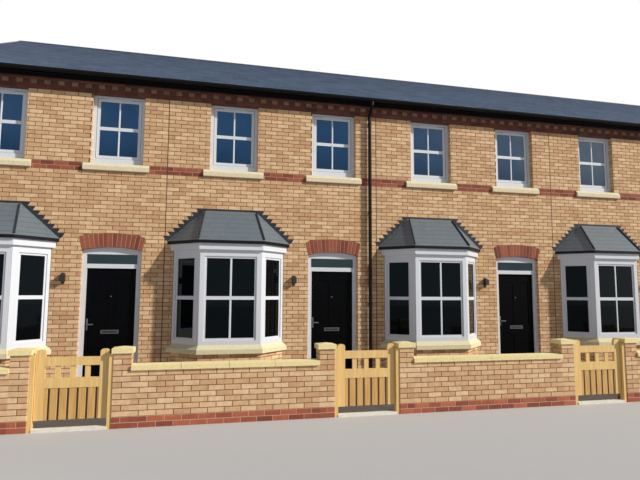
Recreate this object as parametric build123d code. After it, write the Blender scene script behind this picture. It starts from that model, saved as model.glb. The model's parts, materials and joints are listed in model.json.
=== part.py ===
from build123d import *
import os
from math import atan2, cos, degrees, hypot, radians, sin, sqrt, tan

# A row of five modern brick terraced houses with a canted bay and a front door each,
# and the low brick garden walls with timber gates that stand in front of them.
# Millimetres. While the pieces are made, x runs along the row from the gable's outer face,
# y runs back from the front brick face and z runs up from the foot of the walls.
# The last step moves them so that the origin is under the middle of the row.

# Brickwork
course = 75.0                       # height of one brick course with its joint
brick_length = 225.0                # length of one brick with its joint
brick_width = 102.5

# The row
house_count = 5
house_width = 4050.0
house_depth = 9550.0
wall_thickness = 300.0
party_thickness = 250.0
ground_floor_top = 180.0
first_floor_top = 2950.0
first_floor_thickness = 250.0
opening_head = 2520.0               # top of the ground-storey piers
string_top = 4080.0
string_courses = 2
window_courses = 17                 # courses between the string course and the eaves cornice
cornice_courses = 3

# Eaves cornice
oversail_lower = 18.0
oversail_dentil = 45.0
oversail_upper = 62.0
dentil_width = 102.0
dentil_height = 65.0
dentil_start = 0.75                 # brick lengths from the gable to the first dentil's middle

# Roof
roof_pitch = 28.0
slate_thickness = 25.0
deck_thickness = 75.0
slate_overhang = 210.0
eaves_rise = 100.0                  # from the cornice top to the slate edge
verge_overhang = 50.0
soffit_width = 157.0
soffit_thickness = 10.0
fascia_thickness = 18.0
fascia_height = 90.0
gutter_radius = 56.0
gutter_wall = 4.0
gutter_drop = 20.0                  # from the fascia's top to the gutter's rim
ridge_tile_length = 450.0
ridge_tile_joint = 5.0
ridge_wing = 150.0
ridge_tile_thickness = 18.0
ridge_seat_gap = 0.3
verge_cap_width = 90.0
verge_cap_depth = 75.0
verge_cap_thickness = 10.0
downpipe_radius = 34.0
downpipe_to_party = 150.0           # from the pipe to the line between the second and third house
downpipe_standoff = 30.0
downpipe_foot = 60.0
outlet_height = 60.0
neck_height = 200.0
bracket_thickness = 5.0
bracket_width = 40.0
bracket_height = 30.0
bracket_drop = 150.0                # from the neck's foot to the first bracket
bracket_spacing = 1800.0

# Upper windows
window_left_pier = 760.0            # from a house's left side to its first window
window_right_pier = 430.0           # from its second window to its right side
window_width = 900.0
window_setback = 100.0
frame_depth = 70.0
frame_face = 62.0
frame_head = 40.0
frame_foot = 112.0                  # with the sub-sill
sash_face = 58.0
sash_step = 18.0
mid_rail = 62.0
glass_thickness = 24.0
glass_setback = 30.0
back_window_sill = 1080.0
sill_overhang_side = 112.0
sill_projection = 50.0
sill_height = 130.0
sill_nose = 75.0

# Canted bay, measured at the face of its white fascia
bay_left_pier = 100.0               # from a house's left side to the bay, along the wall
bay_to_door = 420.0                 # from the bay to the door opening
bay_projection = 510.0
bay_plinth_inset = 45.0
bay_frame_inset = 48.0
bay_sill_reach = 15.0
bay_sill_top = 875.0
bay_sill_height = 150.0
bay_sill_nose = 75.0
bay_sill_joint = 4.0
bay_sill_width = 190.0
bay_fascia_rise = 130.0             # of the fascia's top over the opening heads
bay_fascia_height = 110.0
bay_head_member = 150.0
bay_foot_member = 115.0
bay_front_member = 119.0
bay_cheek_corner_member = 150.0
bay_cheek_wall_member = 93.0
bay_frame_joint = 2.0               # between two windows of a bay, at each corner
bay_opening_reach = 340.0           # of the opening in the wall, past the bay's front corners
bay_eaves_reach = 40.0
bay_drip_height = 54.0
bay_roof_height = 645.0             # from the fascia's top
bay_roof_top_set_in = 93.0          # of the roof's top from the bay's front corners
bay_roof_flat = 15.0
bay_roll_radius = 14.0
roll_seat_gap = 0.3
flashing_thickness = 4.0
flashing_reach = 190.0              # of a tooth's tip, out from the roof's slope
flashing_tooth = 45.0               # lean of a tooth's front edge over one course
flashing_strip = 30.0               # least height of the strip over the roof

# Front doors
door_right_pier = 390.0             # from the door opening to a house's right side
door_opening = 1000.0
door_setback = 70.0
door_frame_face = 75.0
door_frame_depth = 80.0
door_rebate = 12.0
door_stop_depth = 31.0
door_gap = 5.0
door_foot_gap = 8.0
door_leaf_thickness = 44.0
transom_height = 70.0
toplight_height = 170.0
toplight_head = 70.0                # of frame over the toplight, up to the arch's springing
arch_rise = 60.0
arch_ring = 245.0
arch_frame_gap = 2.0
step_projection = 40.0
panel_depth = 8.0
panel_width = 255.0
panel_gap = 110.0
lower_panel_foot = 192.0            # above the leaf's foot
lower_panel_height = 570.0
upper_panel_foot = 952.0
upper_panel_margin = 180.0          # from the upper panels to the leaf's top
hinge_radius = 7.0
hinge_flap = 3.0
hinge_flap_width = 40.0
hinge_height = 90.0
hinge_running_gap = 0.3
door_hinge_margin = 165.0           # from the leaf's foot and top to its outer hinges
handle_height = 1030.0              # above the leaf's foot
handle_set_in = 42.0
handle_plate = (26.0, 200.0, 8.0)   # width, height, thickness
handle_stem = 16.0
handle_reach = 50.0
lever_length = 118.0
lever_height = 20.0
lever_thickness = 14.0
letter_plate = (300.0, 65.0, 8.0)
letter_plate_foot = 865.0
spy_hole_height = 1520.0
spy_hole_radius = 11.0
spy_hole_thickness = 6.0

# Garden walls and gates
garden_face = 2330.0                # street face of the garden wall in front of the house
garden_wall_thickness = 215.0
garden_wall_courses = 10
garden_pier_courses = 13
garden_pier_width = 225.0
gate_right_wall = 465.0             # from the gateway to a house's right side
gate_opening = 1012.5
coping_overhang = 30.0
coping_edge = 60.0
coping_rise = 22.0
coping_length = 600.0
coping_joint = 5.0
cap_overhang = 25.0
cap_edge = 65.0
cap_rise = 22.0
cap_tip = 20.0
post_width = 57.0
post_depth = 90.0
post_setback = 10.0
post_top_gap = 5.0                 # under the pier caps
gate_gap = 5.0
gate_thickness = 45.0
gate_foot = 136.0
gate_stile = 112.0
gate_stile_top = 1035.0
gate_stile_round = 40.0
gate_top_rail = (826.0, 935.0)
gate_mid_rail = (541.0, 670.0)
gate_board_inset = 12.0
gate_first_board = 58.0
gate_board_width = 115.0
gate_board_groove = 12.0
gate_picket_count = 3
gate_picket_width = 65.0
gate_hinge_heights = (230.0, 875.0)
threshold_height = 38.0
threshold_depth = 90.0

# Lantern beside each door
lantern_to_door = 275.0
lantern_drop = 408.0                # from the opening heads to the lantern's top
lantern_plate = (45.0, 190.0, 12.0)
lantern_width = 75.0
lantern_height = 110.0
lantern_drip = 40.0                 # from the plate's top to the lamp's top
lantern_lid = 35.0
lantern_projection = 100.0

# Worked out from the sizes above
row_length = house_count * house_width
string_height = string_courses * course
string_bottom = string_top - string_height
window_height = window_courses * course
cornice_bottom = string_top + window_height
cornice_top = cornice_bottom + cornice_courses * course
slate_edge = cornice_top + eaves_rise
slope = tan(radians(roof_pitch))
slate_drop = slate_thickness / cos(radians(roof_pitch))
deck_drop = deck_thickness / cos(radians(roof_pitch))
ridge_y = house_depth / 2
window_lefts = (window_left_pier, house_width - window_right_pier - window_width)
door_left = house_width - door_right_pier - door_opening
gate_left = house_width - gate_right_wall - gate_opening
downpipe_x = 2 * house_width - downpipe_to_party
bay_front_width = door_left - bay_to_door - bay_left_pier - 2 * bay_projection
bay_center = bay_left_pier + bay_projection + bay_front_width / 2
bay_opening_half = bay_front_width / 2 + bay_opening_reach
bay_roof_top_half = bay_front_width / 2 - bay_roof_top_set_in
bay_corner_turn = tan(radians(22.5))
bay_fascia_top = opening_head + bay_fascia_rise
bay_roof_eaves = bay_fascia_top + bay_drip_height
bay_roof_top = bay_fascia_top + bay_roof_height
door_head = opening_head - toplight_head - toplight_height - transom_height
door_leaf_foot = ground_floor_top + door_foot_gap
door_leaf_height = door_head - door_leaf_foot
garden_wall_top = garden_wall_courses * course
garden_pier_top = garden_pier_courses * course
post_height = garden_pier_top - post_top_gap
x_middle = (row_length - verge_overhang - verge_cap_thickness) / 2
front_limit = garden_face + max(coping_overhang, cap_overhang)
back_limit = house_depth + soffit_width + fascia_thickness + 2 * gutter_radius
y_middle = (back_limit - front_limit) / 2

houses = [i * house_width for i in range(house_count)]


def block(x0, x1, y0, y1, z0, z1):
    """A box between two corners."""
    return Pos(x0, y0, z0) * Box(x1 - x0, y1 - y0, z1 - z0, align=(Align.MIN, Align.MIN, Align.MIN))


def plan_prism(points, z0, z1):
    """A plan outline raised from z0 to z1."""
    face = make_face(Polyline(*[(x, y, z0) for x, y in points], close=True))
    return extrude(face, amount=z1 - z0, dir=(0, 0, 1))


def section_prism(points, x0, x1):
    """A section in y and z carried along the row."""
    face = make_face(Polyline(*[(x0, y, z) for y, z in points], close=True))
    return extrude(face, amount=x1 - x0, dir=(1, 0, 0))


def face_prism(points, y0, y1):
    """An outline in x and z carried back from y0 to y1."""
    face = make_face(Polyline(*[(x, y0, z) for x, z in points], close=True))
    return extrude(face, amount=y1 - y0, dir=(0, 1, 0))


def at_back(solid):
    """The same piece on the other side of the ridge."""
    return mirror(solid, about=Plane.XZ.offset(-ridge_y))


def slate_line(y):
    """Height of the slates' upper face over a point of the front half."""
    return slate_edge + (y + slate_overhang) * slope


def deck_underside(y):
    """Height of the roof deck's underside over a point of the front half."""
    return slate_line(y) - slate_drop - deck_drop


def save(node, solids):
    """Move a node's solids under the row's own origin and write them."""
    moved = [Pos(-x_middle, -y_middle, 0) * s for s in solids]
    flat = [s for m in moved for s in m.solids()]
    export_step(Compound(children=flat) if len(flat) > 1 else flat[0], f"parts/{node}.step")


# Front wall


def door_sides(x0):
    return x0 + door_left, x0 + door_left + door_opening


def bay_sides(x0):
    return x0 + bay_center - bay_opening_half, x0 + bay_center + bay_opening_half


def arch_center():
    """Radius of the door arch's underside and the height of its centre."""
    half = door_opening / 2
    radius = (half * half + arch_rise * arch_rise) / (2 * arch_rise)
    return radius, opening_head + arch_rise - radius


def arch_segment(x0, radius, y0, y1):
    """The wedge under the circle of a radius, between the arch's two skewbacks."""
    inner, z_center = arch_center()
    x_center = x0 + door_left + door_opening / 2
    tilt = atan2(door_opening / 2, opening_head - z_center)
    left = (x_center - radius * sin(tilt), y0, z_center + radius * cos(tilt))
    right = (x_center + radius * sin(tilt), y0, z_center + radius * cos(tilt))
    crown = (x_center, y0, z_center + radius)
    foot = (x_center, y0, z_center)
    edge = ThreePointArc(left, crown, right) + Line(right, foot) + Line(foot, left)
    return extrude(make_face(edge), amount=y1 - y0, dir=(0, 1, 0))


def front_piers():
    edges = [0.0]
    for x0 in houses:
        edges += [*bay_sides(x0), *door_sides(x0)]
    edges.append(row_length)
    pairs = zip(edges[0::2], edges[1::2])
    return [block(a, b, 0, wall_thickness, 0, opening_head) for a, b in pairs]


def front_wall_middle():
    """The band of wall over the bays and doors, with the arches cut into its outer leaf."""
    wall = block(0, row_length, 0, wall_thickness, opening_head, string_bottom)
    inner, z_center = arch_center()
    for x0 in houses:
        wall -= arch_segment(x0, inner + arch_ring, 0, brick_width)
        left, right = door_sides(x0)
        wall -= block(left, right, 0, wall_thickness, opening_head, opening_head + arch_rise)
    return [wall]


def door_arches():
    inner, z_center = arch_center()
    rings = []
    for x0 in houses:
        ring = arch_segment(x0, inner + arch_ring, 0, brick_width)
        ring -= arch_segment(x0, inner, 0, brick_width)
        rings.append(ring)
    return rings


def upper_piers():
    """The brick piers between the upper windows, as high as the windows."""
    edges = [0.0]
    for x0 in houses:
        for left in window_lefts:
            edges += [x0 + left, x0 + left + window_width]
    edges.append(row_length)
    pairs = zip(edges[0::2], edges[1::2])
    return [block(a, b, 0, wall_thickness, string_top, cornice_bottom) for a, b in pairs]


def eaves_head():
    """The wall head over the windows, sloped to the roof deck on top."""
    section = [(0, cornice_bottom), (wall_thickness, cornice_bottom),
               (wall_thickness, deck_underside(wall_thickness)), (0, deck_underside(0))]
    return section_prism(section, 0, row_length)


def cornice():
    lower = block(0, row_length, -oversail_lower, 0, cornice_bottom, cornice_bottom + course)
    backing = block(0, row_length, -oversail_lower, 0, cornice_bottom + course,
                    cornice_bottom + 2 * course)
    upper = block(0, row_length, -oversail_upper, 0, cornice_top - course, cornice_top)
    return [eaves_head() + lower + backing + upper]


def dentils():
    """Header bricks under the top course, one to each brick length."""
    foot = cornice_bottom + 2 * course - dentil_height
    count = round(row_length / brick_length)
    pitch = row_length / count
    half = dentil_width / 2
    middles = [(i + dentil_start) * pitch for i in range(count)]
    return [block(x - half, x + half, -oversail_dentil, -oversail_lower, foot, foot + dentil_height)
            for x in middles]


# Side, party and back walls


def cross_wall(x0, x1):
    """A wall from front to back that follows the roof deck's underside."""
    back = house_depth
    right = [(back - wall_thickness, 0), (back - wall_thickness, deck_underside(wall_thickness)),
             (ridge_y, deck_underside(ridge_y))]
    left = [(wall_thickness, deck_underside(wall_thickness)), (wall_thickness, 0)]
    return section_prism(right + left, x0, x1)


def party_walls():
    """A wall on each line between two houses, and the one that ends the row."""
    half = party_thickness / 2
    walls = [cross_wall(x0 - half, x0 + half) for x0 in houses[1:]]
    return walls + [cross_wall(row_length - wall_thickness, row_length)]


def back_wall():
    """One plain wall with two rows of windows and a sloped head."""
    wall = block(0, row_length, 0, wall_thickness, 0, cornice_bottom) + eaves_head()
    for x in window_places():
        for z in (string_top, back_window_sill):
            wall -= block(x, x + window_width, 0, wall_thickness, z, z + window_height)
            wall -= sill(x, z)
    return [at_back(wall)]


# Floors


def house_inside(x0):
    """The two inner faces of a house's side walls."""
    left = wall_thickness if x0 == houses[0] else x0 + party_thickness / 2
    end = x0 + house_width
    right = end - wall_thickness if x0 == houses[-1] else end - party_thickness / 2
    return left, right


def floors(z0, z1):
    y1 = house_depth - wall_thickness
    return [block(*house_inside(x0), wall_thickness, y1, z0, z1) for x0 in houses]


def bay_plan(x0, inset):
    """The bay's plan at a distance inside its fascia, with cants at 45 degrees."""
    run = bay_projection - inset
    half = bay_front_width / 2 - inset * bay_corner_turn
    x = x0 + bay_center
    return [(x - half - run, 0), (x - half, -run), (x + half, -run), (x + half + run, 0)]


def front_floors():
    """The floor inside each bay and the step in each doorway."""
    pieces = []
    inner = bay_plinth_inset + brick_width
    for x0 in houses:
        plan = bay_plan(x0, inner)
        x = x0 + bay_center
        half_in = min(plan[3][0] - x, bay_opening_half)
        outline = [(x - half_in, wall_thickness), (x - half_in, 0), plan[1], plan[2],
                   (x + half_in, 0), (x + half_in, wall_thickness)]
        pieces.append(plan_prism(outline, 0, ground_floor_top))
        left, right = door_sides(x0)
        pieces.append(block(left, right, -step_projection, wall_thickness, 0, ground_floor_top))
    return pieces


# Roof


def slate_slope():
    section = [(-slate_overhang, slate_line(-slate_overhang)), (ridge_y, slate_line(ridge_y)),
               (ridge_y, slate_line(ridge_y) - slate_drop),
               (-slate_overhang, slate_line(-slate_overhang) - slate_drop)]
    return section_prism(section, -verge_overhang, row_length)


def deck_slope():
    top = [(-soffit_width, slate_line(-soffit_width) - slate_drop),
           (ridge_y, slate_line(ridge_y) - slate_drop)]
    under = [(ridge_y, deck_underside(ridge_y)), (-soffit_width, deck_underside(-soffit_width))]
    return section_prism(top + under, 0, row_length)


def ridge_tiles():
    """Angled tiles over the ridge with a narrow mortar joint between them."""
    peak = slate_line(ridge_y) + ridge_seat_gap
    drop = ridge_wing * slope
    thick = ridge_tile_thickness / cos(radians(roof_pitch))
    under = [(ridge_y - ridge_wing, peak - drop), (ridge_y, peak), (ridge_y + ridge_wing, peak - drop)]
    over = [(y, z + thick) for y, z in reversed(under)]
    count = round((row_length + verge_overhang) / ridge_tile_length)
    pitch = (row_length + verge_overhang) / count
    return [section_prism(under + over, -verge_overhang + i * pitch,
                          -verge_overhang + (i + 1) * pitch - ridge_tile_joint)
            for i in range(count)]


def verge_caps():
    """A folded strip over the slates' left edge, one to each slope."""
    a, b = -slate_overhang, ridge_y - ridge_wing
    lip = verge_cap_thickness
    top = [(a, slate_line(a)), (b, slate_line(b)), (b, slate_line(b) + lip), (a, slate_line(a) + lip)]
    side = [(a, slate_line(a) - verge_cap_depth), (b, slate_line(b) - verge_cap_depth),
            (b, slate_line(b) + lip), (a, slate_line(a) + lip)]
    left = -verge_overhang - lip
    strip = section_prism(top, left, left + verge_cap_width) + section_prism(side, left, left + lip)
    return [strip, at_back(strip)]


def eaves_boards():
    """Black soffit with the fascia board on its front edge."""
    soffit = block(0, row_length, -soffit_width, 0, cornice_top, cornice_top + soffit_thickness)
    fascia = block(0, row_length, -soffit_width - fascia_thickness, -soffit_width, cornice_top,
                   cornice_top + fascia_height)
    front = soffit + fascia
    return [front, at_back(front)]


def gutter_line():
    """Distance of the gutter's centre from the wall, and the height of its rim."""
    return -soffit_width - fascia_thickness - gutter_radius, cornice_top + fascia_height - gutter_drop


def half_round(radius, x0, x1):
    """A half cylinder along the gutter, flat on top."""
    y, z = gutter_line()
    edge = ThreePointArc((x0, y - radius, z), (x0, y, z - radius), (x0, y + radius, z))
    edge += Line((x0, y + radius, z), (x0, y - radius, z))
    return extrude(make_face(edge), amount=x1 - x0, dir=(1, 0, 0))


def gutter():
    """An open half-round channel with closed ends, on the fascia."""
    hollow = half_round(gutter_radius - gutter_wall, gutter_wall, row_length - gutter_wall)
    return half_round(gutter_radius, 0, row_length) - hollow


def downpipe():
    """Outlet, slanting neck and straight pipe, with a ring bracket at each fixing."""
    gutter_y, rim = gutter_line()
    pipe_y = -downpipe_standoff - downpipe_radius
    z_outlet = rim - gutter_radius
    z_neck_top = z_outlet - outlet_height
    z_neck_foot = z_neck_top - neck_height
    path = Polyline((downpipe_x, gutter_y, z_outlet), (downpipe_x, gutter_y, z_neck_top),
                    (downpipe_x, pipe_y, z_neck_foot), (downpipe_x, pipe_y, downpipe_foot))
    ring = Plane(origin=(downpipe_x, gutter_y, z_outlet), z_dir=(0, 0, -1))
    pipe = sweep(ring * Circle(downpipe_radius), path=path, transition=Transition.RIGHT)
    fixings = int((z_neck_foot - downpipe_foot) / bracket_spacing) + 1
    half = bracket_width / 2
    for i in range(fixings):
        z = z_neck_foot - bracket_drop - i * bracket_spacing
        z0, z1 = z - bracket_height / 2, z + bracket_height / 2
        pipe += Pos(downpipe_x, pipe_y, z) * Cylinder(downpipe_radius + bracket_thickness, bracket_height)
        pipe += block(downpipe_x - half, downpipe_x + half, pipe_y, 0, z0, z1)
    return pipe


# Upper windows


def window_lights(z, height):
    """Heights of a window's lower and upper pane."""
    low, high = z + frame_foot + sash_face, z + height - frame_head - sash_face
    middle = (low + high) / 2
    return ((low, middle - mid_rail / 2), (middle + mid_rail / 2, high))


def window_frame(x, z, height):
    """A white frame with a stepped sash and a rail half way up, outer face at y = 0."""
    frame = block(x, x + window_width, 0, frame_depth, z, z + height)
    outer, inner = frame_face, frame_face + sash_face
    frame -= block(x + outer, x + window_width - outer, 0, sash_step, z + frame_foot, z + height - frame_head)
    for z0, z1 in window_lights(z, height):
        frame -= block(x + inner, x + window_width - inner, 0, frame_depth, z0, z1)
    return frame


def window_glass(x, z, height):
    """The two panes of one window, above and below its rail."""
    inner = frame_face + sash_face
    return [block(x + inner, x + window_width - inner, glass_setback, glass_setback + glass_thickness, z0, z1)
            for z0, z1 in window_lights(z, height)]


def upper_window_parts(make):
    """Frames or panes for the upper front windows and both rows of back windows."""
    pieces = []
    for x in window_places():
        for z, behind in ((string_top, False), (string_top, True), (back_window_sill, True)):
            made = make(x, z, window_height)
            for piece in made if isinstance(made, list) else [made]:
                piece = Pos(0, window_setback, 0) * piece
                pieces.append(at_back(piece) if behind else piece)
    return pieces


def sill(x, z):
    """A cast stone sill under one window: square nose, weathered front, level inside the reveal."""
    section = [(-sill_projection, z - sill_height), (window_setback, z - sill_height),
               (window_setback, z), (0, z), (-sill_projection, z - sill_height + sill_nose)]
    return section_prism(section, x - sill_overhang_side, x + window_width + sill_overhang_side)


def window_places():
    """Each upper window's left side."""
    return [x0 + left for x0 in houses for left in window_lefts]


def string_course():
    """Two red courses, notched for the sills that stand in them."""
    band = block(0, row_length, 0, wall_thickness, string_bottom, string_top)
    for x in window_places():
        band -= sill(x, string_top)
    return [band]


def window_sills():
    pieces = []
    for x in window_places():
        pieces += [sill(x, string_top), at_back(sill(x, string_top)), at_back(sill(x, back_window_sill))]
    return pieces


# Bays


def bay_plinths():
    """Brick walls under the bay windows, one brick thick, from the ground to the sills."""
    inner = bay_plinth_inset + brick_width
    return [plan_prism(bay_plan(x0, bay_plinth_inset) + list(reversed(bay_plan(x0, inner))),
                       0, bay_sill_top - bay_sill_height) for x0 in houses]


def bay_sill_stones(x0):
    """Three mitred sill stones round a bay, with a mortar joint at each mitre."""
    foot = bay_sill_top - bay_sill_height
    outer = bay_plan(x0, -bay_sill_reach)
    top = bay_plan(x0, bay_frame_inset)
    inner = bay_plan(x0, bay_sill_width)
    nose_top = foot + bay_sill_nose
    low = plan_prism(outer, foot, nose_top)
    lower_face = make_face(Polyline(*[(x, y, nose_top) for x, y in outer], close=True))
    upper_face = make_face(Polyline(*[(x, y, bay_sill_top) for x, y in top], close=True))
    stone = low + loft([lower_face, upper_face], ruled=True)
    stone -= plan_prism(inner, foot, bay_sill_top)
    for k in (1, 2):
        (xa, ya), (xb, yb) = outer[k], inner[k]
        reach = hypot(xb - xa, yb - ya)
        turn = degrees(atan2(yb - ya, xb - xa))
        slot = Box(3 * reach, bay_sill_joint, 3 * bay_sill_height)
        stone -= Pos(xa, ya, foot) * Rot(0, 0, turn) * slot
    return list(stone.solids())


def bay_lights():
    """Heights of the lower and upper panes of a bay window."""
    z0 = bay_sill_top + bay_foot_member
    z1 = bay_fascia_top - bay_fascia_height - bay_head_member
    middle = (z0 + z1) / 2
    return ((z0, middle - mid_rail / 2), (middle + mid_rail / 2, z1))


def bay_lengths():
    """Length of a bay's front window and of a cheek window, along their outer faces."""
    corners = bay_plan(0, bay_frame_inset)
    return corners[2][0] - corners[1][0], (corners[3][0] - corners[2][0]) * sqrt(2)


def mitred_frame(length, start, end, to_wall):
    """A window of a bay laid along x, outer face at y = 0: panes between start and end.

    Its left end is mitred to the next window. The right end is too, or else it meets the wall."""
    z0, z1 = bay_sill_top, bay_fascia_top - bay_fascia_height
    lean = frame_depth * bay_corner_turn
    joint = bay_frame_joint / 2
    right = length if to_wall else length - joint
    right_lean = frame_depth if to_wall else lean
    outline = [(joint, 0), (right, 0), (right - right_lean, frame_depth), (joint + lean, frame_depth)]
    frame = plan_prism(outline, z0, z1)
    lights = bay_lights()
    edge = 2 * sash_step
    frame -= block(start - edge, end + edge, 0, sash_step, lights[0][0] - edge, lights[1][1] + edge)
    for low, high in lights:
        frame -= block(start, end, 0, frame_depth, low, high)
    return frame


def at_bay_front(x0, solid):
    """Place a piece made along x on the bay's front."""
    corner = bay_plan(x0, bay_frame_inset)[1]
    return Pos(*corner, 0) * solid


def at_bay_cheek(x0, solid):
    """Place a piece made along x on the bay's right cheek, which runs back at 45 degrees."""
    corner = bay_plan(x0, bay_frame_inset)[2]
    return Pos(*corner, 0) * Rot(0, 0, 45) * solid


def mirrored_cheek(x0, solid):
    """The same piece on the bay's left cheek."""
    return mirror(solid, about=Plane.YZ.offset(x0 + bay_center))


def bay_panes(x0):
    """Start and end of the panes along a bay's front and along its cheek."""
    front, cheek = bay_lengths()
    return ((bay_front_member, front - bay_front_member),
            (bay_cheek_corner_member, cheek - bay_cheek_wall_member))


def bay_frames():
    frames = []
    front_length, cheek_length = bay_lengths()
    for x0 in houses:
        front_panes, cheek_panes = bay_panes(x0)
        frames.append(at_bay_front(x0, mitred_frame(front_length, *front_panes, False)))
        cheek = at_bay_cheek(x0, mitred_frame(cheek_length, *cheek_panes, True))
        frames += [cheek, mirrored_cheek(x0, cheek)]
    return frames


def bay_glass():
    near, far = glass_setback, glass_setback + glass_thickness
    panes = []
    for x0 in houses:
        (a, b), (c, d) = bay_panes(x0)
        for low, high in bay_lights():
            panes.append(at_bay_front(x0, block(a, b, near, far, low, high)))
            cheek = at_bay_cheek(x0, block(c, d, near, far, low, high))
            panes += [cheek, mirrored_cheek(x0, cheek)]
    return panes


def bay_fascias():
    """The white box round the bay's head: fascia, soffit and ceiling."""
    foot = bay_fascia_top - bay_fascia_height
    return [plan_prism(bay_plan(x0, 0), foot, bay_fascia_top) for x0 in houses]


def bay_roof_plans(x0):
    """The bay roof's plan at its eaves and at its top."""
    x = x0 + bay_center
    half, flat = bay_roof_top_half, bay_roof_flat
    top = [(x - half - flat, 0), (x - half, -flat), (x + half, -flat), (x + half + flat, 0)]
    return bay_plan(x0, -bay_eaves_reach), top


def bay_drips():
    """The black drip edge round each bay, a slab between the fascia and the roof."""
    return [plan_prism(bay_roof_plans(x0)[0], bay_fascia_top, bay_roof_eaves) for x0 in houses]


def bay_roofs():
    """A steep hipped lean-to of sheet."""
    roofs = []
    for x0 in houses:
        eaves, top = bay_roof_plans(x0)
        low = make_face(Polyline(*[(x, y, bay_roof_eaves) for x, y in eaves], close=True))
        high = make_face(Polyline(*[(x, y, bay_roof_top) for x, y in top], close=True))
        roofs.append(loft([low, high], ruled=True))
    return roofs


def flashing_joints():
    """Heights of the brick joints that the teeth are tucked into; the last is the strip's top."""
    count = int((string_bottom - bay_roof_eaves) / course) - 1
    joints = [string_bottom - k * course for k in range(count, 0, -1)]
    under = [z for z in joints if z < bay_roof_top + flashing_strip]
    return under + [under[-1] + course]


def bay_flashings():
    """Lead on the wall, with a raked tooth to each course up both sides and a strip over the top."""
    pieces = []
    on_wall = block(0, row_length, -flashing_thickness, 0, 0, string_bottom)
    for x0 in houses:
        eaves, top = bay_roof_plans(x0)
        x = x0 + bay_center
        low, high = eaves[3][0], top[3][0]
        grade = (bay_roof_top - bay_roof_eaves) / (low - high)
        outline = [(low, bay_roof_eaves)]
        for z in flashing_joints():
            tip = low - (z - bay_roof_eaves) / grade + flashing_reach
            outline += [(tip - flashing_tooth, z - course), (tip, z)]
        outline += [(x, outline[-1][1]), (x, bay_roof_top), (high, bay_roof_top)]
        half = face_prism(outline, -flashing_thickness, 0)
        pieces.append((half + mirrored_cheek(x0, half)) & on_wall)
    return pieces


def bay_hip_rolls(x0):
    """A round roll up each hip of a bay roof, seated on the hip's edge."""
    eaves, top = bay_roof_plans(x0)
    a, b = Vector(*eaves[2], bay_roof_eaves), Vector(*top[2], bay_roof_top)
    front_edge = Vector(*eaves[1], bay_roof_eaves) - a
    cheek_edge = Vector(*eaves[3], bay_roof_eaves) - a
    front_normal = front_edge.cross(b - a).normalized() * -1
    cheek_normal = (b - a).cross(cheek_edge).normalized() * -1
    outward = (front_normal + cheek_normal).normalized()
    lean = (b - a).normalized()
    start, end = a + lean * (2 * bay_roll_radius), b - lean * (2 * bay_roll_radius)
    seat = outward * (bay_roll_radius + roll_seat_gap)
    roll = Plane(origin=start + seat, z_dir=lean) * Cylinder(
        bay_roll_radius, (end - start).length, align=(Align.CENTER, Align.CENTER, Align.MIN))
    return [roll, mirrored_cheek(x0, roll)]


# Front doors


def frame_planes():
    """Front and back of the door frame."""
    return door_setback, door_setback + door_frame_depth


def door_edges(x0):
    """The two edges of the leaf."""
    left, right = door_sides(x0)
    return left + door_frame_face + door_gap, right - door_frame_face - door_gap


def door_hinge_line(x0):
    """The hinge pin's place in plan."""
    left, right = door_edges(x0)
    return right + door_gap / 2, frame_planes()[1] + hinge_radius


def door_hinge_places():
    """Foot of each of a door's three hinges."""
    low, high = door_leaf_foot + door_hinge_margin, door_head - door_hinge_margin - hinge_height
    return (low, (low + high) / 2, high)


def hinge_parts(x, y, z, side, moving):
    """One half of a hinge: a flap on the face behind the pin, and its knuckles on the pin's line.

    The moving half has the middle knuckle, the fixed half the two outer ones."""
    third = hinge_height / 3
    heights = [(0, third), (2 * third, hinge_height)]
    if moving:
        heights = [(third + hinge_running_gap, 2 * third - hinge_running_gap)]
    flap0, flap1 = sorted((x + side * (hinge_radius + 1), x + side * hinge_flap_width))
    back = y - hinge_radius
    part = block(flap0, flap1, back, back + hinge_flap, z, z + hinge_height)
    arm0, arm1 = sorted((x, x + side * (hinge_radius + 2)))
    for low, high in heights:
        part += Pos(x, y, z + low) * Cylinder(hinge_radius, high - low,
                                              align=(Align.CENTER, Align.CENTER, Align.MIN))
        part += block(arm0, arm1, back, back + hinge_flap, z + low, z + high)
    return part


def door_frames():
    frames = []
    y0, y1 = frame_planes()
    inner, z_center = arch_center()
    for x0 in houses:
        left, right = door_sides(x0)
        frame = block(left, right, y0, y1, ground_floor_top, opening_head)
        frame += arch_segment(x0, inner - arch_frame_gap, y0, y1) & block(
            left, right, y0, y1, opening_head, opening_head + arch_rise)
        leaf_left, leaf_right = door_edges(x0)
        rebate = block(leaf_left - door_gap, leaf_right + door_gap, y0 + door_stop_depth, y1,
                       ground_floor_top, door_head + door_gap)
        clear = block(leaf_left - door_gap + door_rebate, leaf_right + door_gap - door_rebate, y0, y1,
                      ground_floor_top, door_head + door_gap - door_rebate)
        light_foot = door_head + transom_height
        toplight = block(left + door_frame_face, right - door_frame_face, y0, y1, light_foot,
                         light_foot + toplight_height)
        frame = frame - rebate - clear - toplight
        x, y = door_hinge_line(x0)
        for z in door_hinge_places():
            frame += hinge_parts(x, y, z, 1, False)
        frames.append(frame)
    return frames


def door_toplights():
    panes = []
    y0, y1 = frame_planes()
    for x0 in houses:
        left, right = door_sides(x0)
        foot = door_head + transom_height
        panes.append(block(left + door_frame_face, right - door_frame_face, y0 + glass_setback,
                           y0 + glass_setback + glass_thickness, foot, foot + toplight_height))
    return panes


def leaf_faces():
    """Outer and inner face of a closed door leaf."""
    y1 = frame_planes()[1]
    return y1 - door_leaf_thickness, y1


def panel_rows():
    """Foot and top of the lower and the upper panels."""
    lower = door_leaf_foot + lower_panel_foot
    upper = door_leaf_foot + upper_panel_foot
    return ((lower, lower + lower_panel_height), (upper, door_head - upper_panel_margin))


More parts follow.
